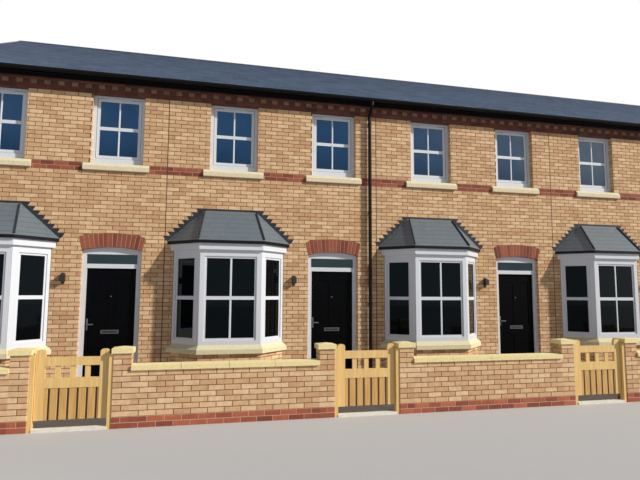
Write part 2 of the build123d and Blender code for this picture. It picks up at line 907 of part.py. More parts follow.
def door_leaf(x0):
    """A flush slab with four sunk panels outside."""
    left, right = door_edges(x0)
    outer, inner = leaf_faces()
    leaf = block(left, right, outer, inner, door_leaf_foot, door_head)
    near, far = panel_gap / 2, panel_gap / 2 + panel_width
    middle = (left + right) / 2
    for low, high in panel_rows():
        for a, b in ((middle - far, middle - near), (middle + near, middle + far)):
            leaf -= block(a, b, outer, outer + panel_depth, low, high)
    return leaf


def lever_handle(x, z, y, out):
    """Backplate and lever on one face: out is the direction it stands away."""
    width, height, thickness = handle_plate
    y0, y1 = sorted((y, y + out * thickness))
    plate = block(x - width / 2, x + width / 2, y0, y1, z - height / 2, z + height / 2)
    near, far = sorted((y, y + out * handle_reach))
    half = handle_stem / 2
    stem = block(x - half, x + half, near, far, z - half, z + half)
    bar0, bar1 = sorted((y + out * (handle_reach - lever_thickness), y + out * handle_reach))
    lever = block(x - half, x - half + lever_length, bar0, bar1, z - lever_height / 2, z + lever_height / 2)
    return plate + stem + lever


def door_furniture(x0):
    """Lever handles, letter plate, spy hole and the moving hinge halves of one door."""
    left, right = door_edges(x0)
    outer, inner = leaf_faces()
    middle = (left + right) / 2
    x, z = left + handle_set_in, door_leaf_foot + handle_height
    pieces = [lever_handle(x, z, outer, -1), lever_handle(x, z, inner, 1)]
    width, height, thickness = letter_plate
    z = door_leaf_foot + letter_plate_foot
    pieces.append(block(middle - width / 2, middle + width / 2, outer - thickness, outer, z, z + height))
    spy_hole = Rot(90, 0, 0) * Cylinder(spy_hole_radius, spy_hole_thickness)
    pieces.append(Pos(middle, outer - spy_hole_thickness / 2, door_leaf_foot + spy_hole_height) * spy_hole)
    x, y = door_hinge_line(x0)
    pieces += [hinge_parts(x, y, z, -1, True) for z in door_hinge_places()]
    return pieces


# Garden walls and gates


def garden_planes():
    """Street face and house face of the garden wall."""
    return -garden_face, -garden_face + garden_wall_thickness


def garden_piers_x():
    """Left sides of the brick piers, from the left end of the row."""
    places = [0.0]
    for x0 in houses:
        places += [x0 + gate_left - garden_pier_width, x0 + gate_left + gate_opening]
    return places


def garden_stretches():
    """The lengths of low wall between piers, one to each house."""
    stretches = []
    for i, x0 in enumerate(houses):
        start = garden_pier_width if i == 0 else (
            x0 - house_width + gate_left + gate_opening + garden_pier_width)
        stretches.append((start, x0 + gate_left - garden_pier_width))
    return stretches


def garden_walls():
    y0, y1 = garden_planes()
    pieces = []
    for a, b in garden_stretches():
        pieces.append(block(a, b, y0, y1, 0, garden_wall_top))
    return pieces


def garden_piers():
    y0, y1 = garden_planes()
    return [block(x, x + garden_pier_width, y0, y1, 0, garden_pier_top) for x in garden_piers_x()]


def copings():
    """Weathered coping stones along each low wall, with a mortar joint between them."""
    y0, y1 = garden_planes()
    middle = (y0 + y1) / 2
    z = garden_wall_top
    section = [(y0 - coping_overhang, z), (y1 + coping_overhang, z),
               (y1 + coping_overhang, z + coping_edge), (middle, z + coping_edge + coping_rise),
               (y0 - coping_overhang, z + coping_edge)]
    stones = []
    for a, b in garden_stretches():
        count = max(1, round((b - a) / coping_length))
        step = (b - a) / count
        for k in range(count):
            stones.append(section_prism(section, a + k * step + coping_joint / 2,
                                        a + (k + 1) * step - coping_joint / 2))
    return stones


def pier_caps():
    """A square cap on each pier that rises to a low point."""
    y0, y1 = garden_planes()
    caps = []
    for x in garden_piers_x():
        a, b = x - cap_overhang, x + garden_pier_width + cap_overhang
        c, d = y0 - cap_overhang, y1 + cap_overhang
        z = garden_pier_top
        slab = block(a, b, c, d, z, z + cap_edge)
        base = make_face(Polyline((a, c, z + cap_edge), (b, c, z + cap_edge), (b, d, z + cap_edge),
                                  (a, d, z + cap_edge), close=True))
        tip = cap_tip / 2
        xm, ym, zt = (a + b) / 2, (c + d) / 2, z + cap_edge + cap_rise
        point = make_face(Polyline((xm - tip, ym - tip, zt), (xm + tip, ym - tip, zt),
                                   (xm + tip, ym + tip, zt), (xm - tip, ym + tip, zt), close=True))
        caps.append(slab + loft([base, point], ruled=True))
    return caps


def gate_sides(x0):
    """The two edges of a gate leaf."""
    left = x0 + gate_left + post_width + gate_gap
    right = x0 + gate_left + gate_opening - post_width - gate_gap
    return left, right


def post_planes():
    y0 = -garden_face + post_setback
    return y0, y0 + post_depth


def gate_hinge_line(x0):
    return gate_sides(x0)[0] - gate_gap / 2, post_planes()[1] + hinge_radius


def gate_posts():
    """Two posts to each gateway; the left one carries the fixed hinge halves."""
    y0, y1 = post_planes()
    posts = []
    for x0 in houses:
        left = x0 + gate_left
        right = left + gate_opening
        hung = block(left, left + post_width, y0, y1, 0, post_height)
        x, y = gate_hinge_line(x0)
        for z in gate_hinge_heights:
            hung += hinge_parts(x, y, z, -1, False)
        posts += [hung, block(right - post_width, right, y0, y1, 0, post_height)]
    return posts


def gate_thresholds():
    """A pale stone edging across each gateway, between the posts."""
    y0 = -garden_face
    pieces = []
    for x0 in houses:
        left = x0 + gate_left + post_width
        right = x0 + gate_left + gate_opening - post_width
        pieces.append(block(left, right, y0, y0 + threshold_depth, 0, threshold_height))
    return pieces


def gate(x0):
    """Stiles with rounded heads, two rails, short pickets between them and boards below."""
    left, right = gate_sides(x0)
    y1 = post_planes()[1]
    y0 = y1 - gate_thickness
    leaf = None
    for a in (left, right - gate_stile):
        stile = block(a, a + gate_stile, y0, y1, gate_foot, gate_stile_top)
        heads = stile.edges().filter_by(Axis.Y).group_by(Axis.Z)[-1]
        stile = fillet(heads, gate_stile_round)
        leaf = stile if leaf is None else leaf + stile
    inside0, inside1 = left + gate_stile, right - gate_stile
    for z0, z1 in (gate_top_rail, gate_mid_rail):
        leaf += block(inside0, inside1, y0, y1, z0, z1)
    picket_pitch = (inside1 - inside0 - gate_picket_count * gate_picket_width) / (gate_picket_count + 1)
    for k in range(gate_picket_count):
        a = inside0 + picket_pitch * (k + 1) + gate_picket_width * k
        leaf += block(a, a + gate_picket_width, y0 + gate_board_inset, y1 - gate_board_inset,
                      gate_mid_rail[1], gate_top_rail[0])
    face = y0 + gate_board_inset
    boards = block(inside0, inside1, face, y1, gate_foot, gate_mid_rail[0])
    half = gate_board_groove / 2
    x = inside0 + gate_first_board
    while x < inside1 - gate_board_groove:
        groove = [(x - half, face), (x + half, face), (x, face + gate_board_groove)]
        boards -= plan_prism(groove, gate_foot, gate_mid_rail[0])
        x += gate_board_width
    leaf += boards
    x, y = gate_hinge_line(x0)
    for z in gate_hinge_heights:
        leaf += hinge_parts(x, y, z, 1, True)
    return leaf


def lanterns():
    """A small lamp with a sloped lid on a narrow plate, on the wall beside each door."""
    pieces = []
    top = opening_head - lantern_drop
    width, height, thickness = lantern_plate
    head = top - lantern_drip
    for x0 in houses:
        x = x0 + door_left - lantern_to_door
        half = lantern_width / 2
        plate = block(x - width / 2, x + width / 2, -thickness, 0, top - height, top)
        lamp = block(x - half, x + half, -lantern_projection, 0, head - lantern_height, head)
        lid_foot = make_face(Polyline((x - half, -lantern_projection, head), (x + half, -lantern_projection, head),
                                      (x + half, 0, head), (x - half, 0, head), close=True))
        lid_top = make_face(Polyline((x - width / 2, -thickness, head + lantern_lid),
                                     (x + width / 2, -thickness, head + lantern_lid),
                                     (x + width / 2, 0, head + lantern_lid),
                                     (x - width / 2, 0, head + lantern_lid), close=True))
        pieces.append(plate + lamp + loft([lid_foot, lid_top], ruled=True))
    return pieces


os.makedirs("parts", exist_ok=True)

save("front_wall_piers", front_piers() + upper_piers())
save("front_wall_middle", front_wall_middle())
save("door_arches", door_arches())
save("string_course", string_course())
save("eaves_cornice", cornice())
save("cornice_dentils", dentils())
save("gable_wall", [cross_wall(0, wall_thickness)])
save("party_walls", party_walls())
save("back_wall", back_wall())
save("ground_floor", floors(0, ground_floor_top))
save("front_floor_edges", front_floors())
save("first_floor", floors(first_floor_top - first_floor_thickness, first_floor_top))
save("roof_slates", [slate_slope(), at_back(slate_slope())])
save("roof_deck", [deck_slope(), at_back(deck_slope())])
save("ridge_tiles", ridge_tiles())
save("verge_caps", verge_caps())
save("eaves_boards", eaves_boards())
save("gutters", [gutter(), at_back(gutter())] + bay_drips())
save("downpipes", [downpipe(), at_back(downpipe())])
save("window_frames", upper_window_parts(window_frame))
save("window_glass", upper_window_parts(window_glass) + bay_glass() + door_toplights())
save("window_sills", window_sills())

save("bay_plinths", bay_plinths())
save("bay_sills", [stone for x0 in houses for stone in bay_sill_stones(x0)])
save("bay_frames", bay_frames())
save("bay_fascias", bay_fascias())
save("bay_roofs", bay_roofs())
save("bay_leadwork", bay_flashings() + [roll for x0 in houses for roll in bay_hip_rolls(x0)])

save("door_frames", door_frames())
for number, x0 in enumerate(houses, 1):
    save(f"door_{number}", [door_leaf(x0)])
    save(f"door_{number}_furniture", door_furniture(x0))
save("wall_lanterns", lanterns())

save("garden_walls", garden_walls())
save("garden_piers", garden_piers())
save("garden_copings", copings() + pier_caps())
save("gate_posts", gate_posts())
save("gate_thresholds", gate_thresholds())
for number, x0 in enumerate(houses, 1):
    save(f"gate_{number}", [gate(x0)])
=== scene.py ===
# %% [markdown]
# # A brick terrace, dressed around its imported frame
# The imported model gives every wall, frame, door and gate in metres. This script keeps those solids
# where they are, gives them real finishes, and lays bricks, slates and small trim on them.

# %% Load the frame
import json
import math

import bpy
import numpy as np
from mathutils import Matrix, Vector


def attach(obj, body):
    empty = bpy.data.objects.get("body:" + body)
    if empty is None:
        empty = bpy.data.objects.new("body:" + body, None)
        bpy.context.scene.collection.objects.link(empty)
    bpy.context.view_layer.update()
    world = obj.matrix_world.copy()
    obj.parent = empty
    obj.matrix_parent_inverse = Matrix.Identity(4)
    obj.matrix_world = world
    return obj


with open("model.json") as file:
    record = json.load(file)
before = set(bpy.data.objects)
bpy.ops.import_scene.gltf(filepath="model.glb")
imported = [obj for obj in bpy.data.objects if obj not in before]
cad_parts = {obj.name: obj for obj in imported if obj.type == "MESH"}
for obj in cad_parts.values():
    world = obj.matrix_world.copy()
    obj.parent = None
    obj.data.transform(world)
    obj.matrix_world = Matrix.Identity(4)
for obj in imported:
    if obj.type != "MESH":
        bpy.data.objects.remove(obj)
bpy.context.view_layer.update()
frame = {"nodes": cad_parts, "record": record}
nodes = frame["nodes"]

# %% [markdown]
# ## Sizes of the row
# The solids were drawn with x along the row from the gable, y back from the front brick face and z
# up from the ground, then moved so that the origin is under the middle of the row. Everything here
# is worked out in those row coordinates, in metres, and moved the same way when its mesh is made.
# The brick sets the scale: a course is 75 mm high, and a brick with its joint is 225 mm long.

# %% Sizes of the row
ROW_SHIFT = np.array([-10.095, -3.7385, 0.0])
COURSE = 0.075
BRICK = 0.225
JOINT = 0.010
HOUSES = 5
HOUSE = 4.05
ROW = HOUSES * HOUSE
DEPTH = 9.55
# Heights of the red string course and of the cornice.
STRING_FOOT, STRING_TOP = 3.93, 4.08
CORNICE_FOOT, CORNICE_TOP = 5.355, 5.58
# Left sides of a house's two upper windows, and their width.
WINDOW_LEFTS = (0.76, 2.72)
WINDOW_WIDTH = 0.9
house_starts = [i * HOUSE for i in range(HOUSES)]
window_xs = [start + left for start in house_starts for left in WINDOW_LEFTS]
# All chance comes from this one seeded source, so each run gives the same bricks.
chance = np.random.default_rng(5761)
print(len(window_xs), "upper windows in", ROW, "m of front")

# %% [markdown]
# ## Camera
# The camera stands 9.8 m in front of the brick face and 1.8 m up, just right of the joint between
# the first two houses, and looks slightly up and to the right. It could be turned by eye, but long
# rows of bricks show every error. So its place, its turn and its focal length of 520 pixels, in a
# picture 640 pixels wide, come from a fit to the courses.

# %% Camera
PHOTO_WIDTH = 640
FOCAL_PIXELS = 520.373
SENSOR_MM = 36.0
CAMERA_PLACE = (-5.4745, -13.5385, 1.7995)
yaw, pitch, roll = (math.radians(angle) for angle in (13.3417, 5.7289, -0.2969))
forward = Vector((math.sin(yaw) * math.cos(pitch), math.cos(yaw) * math.cos(pitch), math.sin(pitch)))
level_right = Vector((math.cos(yaw), -math.sin(yaw), 0.0))
level_down = -level_right.cross(forward)
picture_right = math.cos(roll) * level_right + math.sin(roll) * level_down
picture_down = -math.sin(roll) * level_right + math.cos(roll) * level_down

camera_data = bpy.data.cameras.new("front_camera")
camera_data.sensor_fit = "HORIZONTAL"
camera_data.sensor_width = SENSOR_MM
camera_data.lens = SENSOR_MM * FOCAL_PIXELS / PHOTO_WIDTH
camera_data.clip_end = 200.0
camera = bpy.data.objects.new("front_camera", camera_data)
turn = [(*axis, 0.0) for axis in zip(picture_right, -picture_down, -forward)] + [(0.0, 0.0, 0.0, 1.0)]
camera.matrix_world = Matrix.Translation(CAMERA_PLACE) @ Matrix(turn)
bpy.context.collection.objects.link(camera)
bpy.context.scene.camera = camera
print("lens", round(camera_data.lens, 2), "mm")

# %% [markdown]
# ## Colour and node helpers
# Colours are picked as hex codes, but shaders mix light in linear values, so one function turns the
# one into the other. Nodes could be placed by hand in the editor. Here one function adds a node
# with its settings and links, and one starts a material with a single Principled shader.


# %% Colour and node helpers
def linear(hex_colour):
    """Each sRGB channel c becomes c/12.92 below 0.04045 and ((c + 0.055)/1.055)^2.4 above it."""
    channels = [int(hex_colour[i:i + 2], 16) / 255 for i in (1, 3, 5)]
    values = [c / 12.92 if c <= 0.04045 else ((c + 0.055) / 1.055) ** 2.4 for c in channels]
    return (*values, 1.0)


def add(tree, kind, settings=None, **inputs):
    """Adds a node. Settings are its own properties. Each input is a value or the socket that feeds it,
    and goes by its name, with _ for a space, or by i and its number."""
    node = tree.nodes.new(kind)
    for name, value in (settings or {}).items():
        setattr(node, name, value)
    for name, value in inputs.items():
        numbered = name[0] == "i" and name[1:].isdigit()
        socket = node.inputs[int(name[1:]) if numbered else name.replace("_", " ")]
        if isinstance(value, bpy.types.NodeSocket):
            tree.links.new(value, socket)
        else:
            socket.default_value = value
    return node


def new_material(name, base, roughness, metallic=0.0, **more):
    """A Principled material with its uniform values on the shader's own sockets. Returns it, its tree,
    its shader and the object coordinates."""
    material = bpy.data.materials.new(name)
    material.use_nodes = True
    tree = material.node_tree
    tree.nodes.clear()
    shader = add(tree, "ShaderNodeBsdfPrincipled", Base_Color=linear(base), Roughness=roughness,
                 Metallic=metallic, **more)
    output = add(tree, "ShaderNodeOutputMaterial")
    tree.links.new(shader.outputs[0], output.inputs[0])
    return material, tree, shader, add(tree, "ShaderNodeTexCoord").outputs["Object"]


MIX = {"data_type": "RGBA"}
MULTIPLY = {"data_type": "RGBA", "blend_type": "MULTIPLY"}
print("white is", linear("#ffffff"), "and middle grey", round(linear("#808080")[0], 3))

# %% [markdown]
# ## Two close tones
# Most finishes here are one matter whose tone wanders a little: stone, timber, plastic, paint. Each
# could have its own node tree. One function is enough, because only the colours, the wave length,
# the gloss and the stretch of the grain differ. The wave length is a real size in millimetres.


# %% Finish from noise
def noise_material(name, light, dark, wave_mm, roughness, relief_mm=0.5, metallic=0.0, stretch=(1, 1, 1),
                   **more):
    """Colour = dark + (light - dark)*(noise - 0.3)/0.4, held between the two, for noise of one wave
    length. The same noise raises a bump of relief_mm, and stretch squeezes it along each axis."""
    material, tree, shader, place = new_material(name, light, roughness, metallic, **more)
    mapped = add(tree, "ShaderNodeMapping", Vector=place, Scale=stretch)
    noise = add(tree, "ShaderNodeTexNoise", Vector=mapped.outputs[0], Scale=1000.0 / wave_mm, Detail=4.0)
    level = add(tree, "ShaderNodeMapRange", i0=noise.outputs[0], i1=0.3, i2=0.7)
    mixed = add(tree, "ShaderNodeMix", MIX, i0=level.outputs[0], i6=linear(dark), i7=linear(light))
    tree.links.new(mixed.outputs[2], shader.inputs["Base Color"])
    bump = add(tree, "ShaderNodeBump", Height=noise.outputs[0], Distance=relief_mm / 1000, Strength=0.6)
    tree.links.new(bump.outputs[0], shader.inputs["Normal"])
    return material


print("noise of 100 mm waves has a scale of", 1000.0 / 100)

# %% [markdown]
# ## Facing brick and its mortar
# The walls are of wirecut buff facing brick, a clay cut by wires and rolled in sand, so no two
# bricks fire alike and each has a sandy, slightly creased face. The red bands and arches are of a
# smooth red brick. A wall could be one flat face with a brick pattern, but a pattern has no arrises
# and no cut bricks at an opening. So each brick is modelled, and its material only tells it what
# tone it was fired to, from an attribute written with the mesh. The wall solids keep a mortar
# finish, because what shows of them is the joint between the bricks.


# %% Fired clay
def brick_material(name, pale, middle, deep, sand_depth):
    """Three fired colours by the brick's tone: deep to middle up to 0.5, middle to pale from 0.55 on.
    Slow noise stains them, and fine noise raises a sandy bump of sand_depth metres."""
    material, tree, shader, place = new_material(name, middle, 0.92)
    tone = add(tree, "ShaderNodeAttribute", {"attribute_name": "tone"}).outputs["Fac"]
    low = add(tree, "ShaderNodeMapRange", i0=tone, i1=0.0, i2=0.5)
    high = add(tree, "ShaderNodeMapRange", i0=tone, i1=0.55, i2=1.0)
    warm = add(tree, "ShaderNodeMix", MIX, i0=low.outputs[0], i6=linear(deep), i7=linear(middle))
    fired = add(tree, "ShaderNodeMix", MIX, i0=high.outputs[0], i6=warm.outputs[2], i7=linear(pale))
    # Kiln stains run over a third of a brick, so the noise turns over every 80 mm.
    stain = add(tree, "ShaderNodeTexNoise", Vector=place, Scale=12.0, Detail=3.0, Roughness=0.6)
    amount = add(tree, "ShaderNodeMapRange", i0=stain.outputs[0], i1=0.35, i2=0.75, i3=0.0, i4=0.35)
    stained = add(tree, "ShaderNodeMix", MULTIPLY, i0=amount.outputs[0], i6=fired.outputs[2],
                  i7=linear("#b09078"))
    tree.links.new(stained.outputs[2], shader.inputs["Base Color"])
    # Sand grains are about 1 mm; 6 mm is the finest that still shows.
    sand = add(tree, "ShaderNodeTexNoise", Vector=place, Scale=160.0, Detail=2.0)
    bump = add(tree, "ShaderNodeBump", Height=sand.outputs[0], Distance=sand_depth, Strength=0.6)
    tree.links.new(bump.outputs[0], shader.inputs["Normal"])
    return material


# Buff wirecut facing brick: clay pushed through a die, cut by wires, sanded and fired. Soft sandy tans.
buff_brick = brick_material("buff_wirecut_brick", "#ebc99f", "#dcb78b", "#cba077", 0.0012)
# Smooth red facing brick: an iron-rich clay with a rolled face. Even, matt and plain red.
red_brick = brick_material("red_smooth_brick", "#a55e45", "#8e4b39", "#723a2e", 0.0006)
# The same red brick for the cornice, drawn deep brown-red as painted shade, for the shade under the gutter.
cornice_red_painted_shade = brick_material("cornice_brick_painted_shade", "#7d4537", "#6b392d", "#552c24", 0.0006)
# The same red brick near the ground, where rain splashes it. Paler and more orange.
foot_red = brick_material("red_garden_wall_brick", "#bd6c4e", "#a65a42", "#854536", 0.0008)
# Plain common brick: pressed clay without a facing, for a wall that the next house hides. Pinkish tan.
common_brick = brick_material("plain_common_brick", "#cfae92", "#bd987b", "#a68066", 0.0012)
print("bricks", buff_brick.name, red_brick.name, cornice_red_painted_shade.name, foot_red.name, common_brick.name)


# %% Mortar
def mortar_material(name, light, dark, foot):
    """Two close browns by slow noise, another tone below the second course, and a gritty bump."""
    material, tree, shader, place = new_material(name, light, 0.95)
    patch = add(tree, "ShaderNodeTexNoise", Vector=place, Scale=7.0, Detail=4.0)
    mixed = add(tree, "ShaderNodeMix", MIX, i0=patch.outputs[0], i6=linear(dark), i7=linear(light))
    height = add(tree, "ShaderNodeSeparateXYZ", Vector=place)
    at_foot = add(tree, "ShaderNodeMath", {"operation": "LESS_THAN"}, i0=height.outputs[2], i1=2 * COURSE)
    footed = add(tree, "ShaderNodeMix", MIX, i0=at_foot.outputs[0], i6=mixed.outputs[2], i7=linear(foot))
    tree.links.new(footed.outputs[2], shader.inputs["Base Color"])
    # Mortar grit is about 2 mm; 5 mm is the finest that still shows.
    grit = add(tree, "ShaderNodeTexNoise", Vector=place, Scale=200.0, Detail=1.0)
    bump = add(tree, "ShaderNodeBump", Height=grit.outputs[0], Distance=0.001, Strength=0.5)
    tree.links.new(bump.outputs[0], shader.inputs["Normal"])
    return material


# Sand mortar: cement and sharp sand, struck with an iron while soft. Brown gritty lines behind the bricks.
buff_mortar = mortar_material("sand_mortar", "#7b5938", "#61442a", "#cba58c")
# Mortar of the red work: the same mix with pale sand, so that each red brick has a light outline.
red_mortar = mortar_material("pale_mortar_in_red_work", "#c79f86", "#b08a72", "#cba58c")
print("mortars", buff_mortar.name, red_mortar.name)

# %% [markdown]
# ## Brick slabs
# A brick shows only its face, so each one is a thin closed slab that stands 3 mm out of the mortar
# and has a 1.5 mm arris. Whole bricks would cost more faces and hide inside the wall. A wall is one
# array of four-cornered outlines in the plane of the wall, numpy turns the array into vertices at
# once, and one mesh holds the wall.


# %% Mesh builder
def make_piece(name, points, quads, material, body="row", tone=None):
    """Puts (n, 3) row points and (m, 4) corner numbers into one mesh that rides on a body. Each vertex
    is a row point plus ROW_SHIFT."""
    mesh = bpy.data.meshes.new(name)
    points = (points.reshape(-1, 3) + ROW_SHIFT).astype(np.float32)
    mesh.vertices.add(len(points))
    mesh.vertices.foreach_set("co", points.ravel())
    mesh.loops.add(quads.size)
    mesh.loops.foreach_set("vertex_index", quads.astype(np.int32).ravel())
    mesh.polygons.add(len(quads))
    mesh.polygons.foreach_set("loop_start", np.arange(0, quads.size, 4, dtype=np.int32))
    mesh.update(calc_edges=True)
    mesh.validate()
    mesh.shade_flat()
    if tone is not None:
        values = tone.astype(np.float32)
        mesh.attributes.new("tone", "FLOAT", "POINT").data.foreach_set("value", values)
    mesh.materials.append(material)
    piece = bpy.data.objects.new(name, mesh)
    bpy.context.collection.objects.link(piece)
    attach(piece, body)
    print(name, len(quads) * 2, "triangles")
    return piece


print("meshes are made in row coordinates and moved by", ROW_SHIFT)

# %% Slab builder
SLAB_CORNERS = 12
SLAB_QUADS = np.array([(3, 2, 1, 0)]
                      + [(k, (k + 1) % 4, 4 + (k + 1) % 4, 4 + k) for k in range(4)]
                      + [(4 + k, 4 + (k + 1) % 4, 8 + (k + 1) % 4, 8 + k) for k in range(4)]
                      + [(8, 9, 10, 11)])
UP = (0.0, 0.0, 1.0)


def slab_mesh(corners, origin, along, up=UP, sink=0.001, edge=0.0015, proud=0.003, arris=0.0015):
    """Slabs on a plane. Each outline corner (u, v) gives three points, origin + u*along + v*up + d*out:
    at d = -sink, at d = edge, and at d = proud drawn in by the arris. Out is along x up."""
    corners = np.asarray(corners, float).reshape(-1, 4, 2)
    along, up = np.array(along, float), np.array(up, float)
    out = np.cross(along, up)
    middle = corners.mean(axis=1, keepdims=True)
    span = corners.max(axis=1, keepdims=True) - corners.min(axis=1, keepdims=True)
    inner = middle + (corners - middle) * (1 - 2 * np.minimum(arris, span / 4) / span)
    layers = [np.array(origin) + ring[..., :1] * along + ring[..., 1:] * up + depth * out
              for ring, depth in ((corners, -sink), (corners, edge), (inner, proud))]
    points = np.concatenate(layers, axis=1)
    quads = (np.arange(len(corners)) * SLAB_CORNERS)[:, None, None] + SLAB_QUADS
    return points.reshape(-1, 3), quads.reshape(-1, 4)


def slab_piece(name, parts, material, body="row"):
    """One piece from several (corners, origin, along, options) groups, where each slab takes its own
    tone between 0 and 1 by chance."""
    points, quads, count = [], [], 0
    for corners, origin, along, options in parts:
        some_points, some_quads = slab_mesh(corners, origin, along, **options)
        points.append(some_points)
        quads.append(some_quads + count)
        count += len(some_points)
    tone = np.repeat(chance.random(count // SLAB_CORNERS), SLAB_CORNERS)
    return make_piece(name, np.concatenate(points), np.concatenate(quads), material, body, tone)


def box_corners(cells):
    """(n, 4) rows of left, right, foot and top as (n, 4, 2) outlines that turn left as seen from outside."""
    left, right, foot, top = np.asarray(cells, float).reshape(-1, 4).T
    return np.stack([np.stack([left, foot], 1), np.stack([right, foot], 1), np.stack([right, top], 1),
                     np.stack([left, top], 1)], axis=1)


print("slab of", len(SLAB_QUADS), "faces")

# %% [markdown]
# ## Stretcher bond
# Every course is 75 mm high and every second one is shifted by half a brick. Laying bricks one by
# one in a loop would be slow, so the bond is a grid of cells for the whole wall. Openings cut the
# cells that they cross, and a movement joint cuts the wall in two at each party wall. A mortar joint
# of 10 mm then comes off round each cell, except at an opening, where the brick runs to the edge.

# %% Bond
# A bricklayer leaves out bits shorter or lower than these.
LEAST_LENGTH = 0.03
LEAST_HEIGHT = 0.018
TINY = 1e-6


def bond(u0, u1, z0, z1, datum, start=0.0, flip=0):
    """Cells (left, right, foot, top). Row k lies between datum + k*COURSE and the next, and column m
    between start + (m - (k + flip)%2/2)*BRICK and the next. Both are cut to u0..u1 and z0..z1."""
    rows = np.arange(math.floor((z0 - datum) / COURSE + TINY), math.ceil((z1 - datum) / COURSE - TINY))
    columns = np.arange(math.floor((u0 - start) / BRICK) - 1, math.ceil((u1 - start) / BRICK) + 2)
    k, m = (grid.ravel() for grid in np.meshgrid(rows, columns, indexing="ij"))
    left = start + (m - (k + flip) % 2 / 2) * BRICK
    foot = datum + k * COURSE
    cells = np.stack([left, left + BRICK, foot, foot + COURSE], 1)
    cells[:, :2] = np.clip(cells[:, :2], u0, u1)
    cells[:, 2:] = np.clip(cells[:, 2:], z0, z1)
    long_enough = cells[:, 1] - cells[:, 0] > LEAST_LENGTH
    tall_enough = cells[:, 3] - cells[:, 2] > LEAST_HEIGHT
    cells = cells[long_enough & tall_enough]
    at_left, at_right = cells[:, 0] <= u0 + TINY, cells[:, 1] >= u1 - TINY
    cells[at_left, 0] -= JOINT / 2
    cells[at_right, 1] += JOINT / 2
    return cells


def faces(cells):
    """Cell outlines with half a joint taken off each side."""
    half = JOINT / 2
    return box_corners(cells + np.array([half, -half, half, -half]))


print("one house is", round(HOUSE / BRICK), "bricks wide")

# %% Openings and movement joints
LEAST_CUT = 0.025
MOVEMENT = 0.008


def cut(cells, a, b, foot=-1.0, top=99.0):
    """Takes a..b out of each cell whose middle height lies in foot..top. What is left of a ends at
    a + JOINT/2, and what is right of b starts at b - JOINT/2, because faces takes that much off."""
    middle = cells[:, 2:].mean(axis=1)
    hit = (middle > foot) & (middle < top) & (cells[:, 0] < b) & (cells[:, 1] > a)
    left = cells[hit & (cells[:, 0] < a - LEAST_CUT)]
    right = cells[hit & (cells[:, 1] > b + LEAST_CUT)]
    left[:, 1] = a + JOINT / 2
    right[:, 0] = b - JOINT / 2
    return np.concatenate([cells[~hit], left, right])


def movement_joints(cells):
    """Cuts the wall at each party line, MOVEMENT to either side."""
    for start in house_starts[1:]:
        cells = cut(cells, start - MOVEMENT, start + MOVEMENT)
    return cells


print("movement joints are", round(2000 * MOVEMENT), "mm wide")

# %% [markdown]
# ## The front wall and its door arches
# Each door has a flat segmental arch of red bricks on end. The bricks beside it are cut to its
# slanting ends and those above it to its curve. A boolean could cut them, but it leaves slivers, so
# the cut is worked on the outlines: a corner beyond the slant is drawn back to it, and a lower
# corner inside the curve is raised to it.

# %% Door arch
DOOR_LEFT = 2.66
DOOR_WIDTH = 1.0
DOOR_HEAD = 2.52
ARCH_RISE = 0.06
ARCH_RING = 0.245
# Only bricks this near to a door's middle can meet its arch, and thinner remains are dropped.
ARCH_NEAR = 0.75
SLIVER = 0.02
HAIR = 0.002
half_door = DOOR_WIDTH / 2
arch_inner = (half_door ** 2 + ARCH_RISE ** 2) / (2 * ARCH_RISE)
arch_outer = arch_inner + ARCH_RING
arch_centre = DOOR_HEAD + ARCH_RISE - arch_inner
arch_tilt = math.asin(half_door / arch_inner)
ring_foot_top = arch_centre + arch_outer * math.cos(arch_tilt)


def trim_round_arch(quads, middle):
    """Trims outlines near one arch. Half width at height z is half_door + (z - head)*tan(tilt) up to
    the ring's outer corner, then sqrt(outer^2 - (z - centre)^2). The ring's top, u from its middle,
    is at centre + sqrt(outer^2 - u^2)."""
    gap = JOINT / 2
    ring_top = arch_centre + arch_outer
    u, z = quads[..., 0] - middle, quads[..., 1]
    near = (np.abs(u).min(axis=1) < ARCH_NEAR) & (z.min(axis=1) < ring_top) & (z.max(axis=1) > DOOR_HEAD)
    slant = half_door + np.maximum(z - DOOR_HEAD, 0) * math.tan(arch_tilt)
    curve = np.sqrt(np.maximum(arch_outer ** 2 - (z - arch_centre) ** 2, 0))
    reach = np.where(z < ring_foot_top, slant, curve) + gap
    side = np.sign(u.mean(axis=1, keepdims=True))
    pulled = np.where(np.abs(u) < reach, side * reach, u)
    over = arch_centre + np.sqrt(arch_outer ** 2 - np.minimum(np.abs(u), 1.0) ** 2) + gap
    spans = z.max(axis=1, keepdims=True) > ring_top
    u = np.where(near[:, None] & ~spans, pulled, u)
    z = np.where(near[:, None] & spans & (z < over), over, z)
    trimmed = np.stack([u + middle, z], -1)
    wide = trimmed[:, [1, 2], 0] - trimmed[:, [0, 3], 0]
    tall = trimmed[:, [3, 2], 1] - trimmed[:, [0, 1], 1]
    return trimmed[(wide.max(axis=1) > SLIVER) & (wide.min(axis=1) > HAIR) & (tall.min(axis=1) > HAIR)]


print("arch radius", round(arch_inner, 3), "m, tilt", round(math.degrees(arch_tilt), 1), "degrees")

# %% Arch bricks
VOUSSOIRS = 14
RING_IN = 0.003
edges = np.linspace(-arch_tilt, arch_tilt, VOUSSOIRS + 1)
half_gap = JOINT / 2 / arch_inner
first, last = edges[:-1] + half_gap, edges[1:] - half_gap
low, high = arch_inner + RING_IN, arch_outer - RING_IN
ring = []
for start in house_starts:
    middle = start + DOOR_LEFT + half_door
    ring.append(np.stack([np.stack([middle + r * np.sin(t), arch_centre + r * np.cos(t)], -1)
                          for t, r in ((first, low), (last, low), (last, high), (first, high))], axis=1))
front_plane = ((0, 0, 0), (1, 0, 0), {})
slab_piece("arch_bricks", [(np.concatenate(ring), *front_plane)], red_brick)

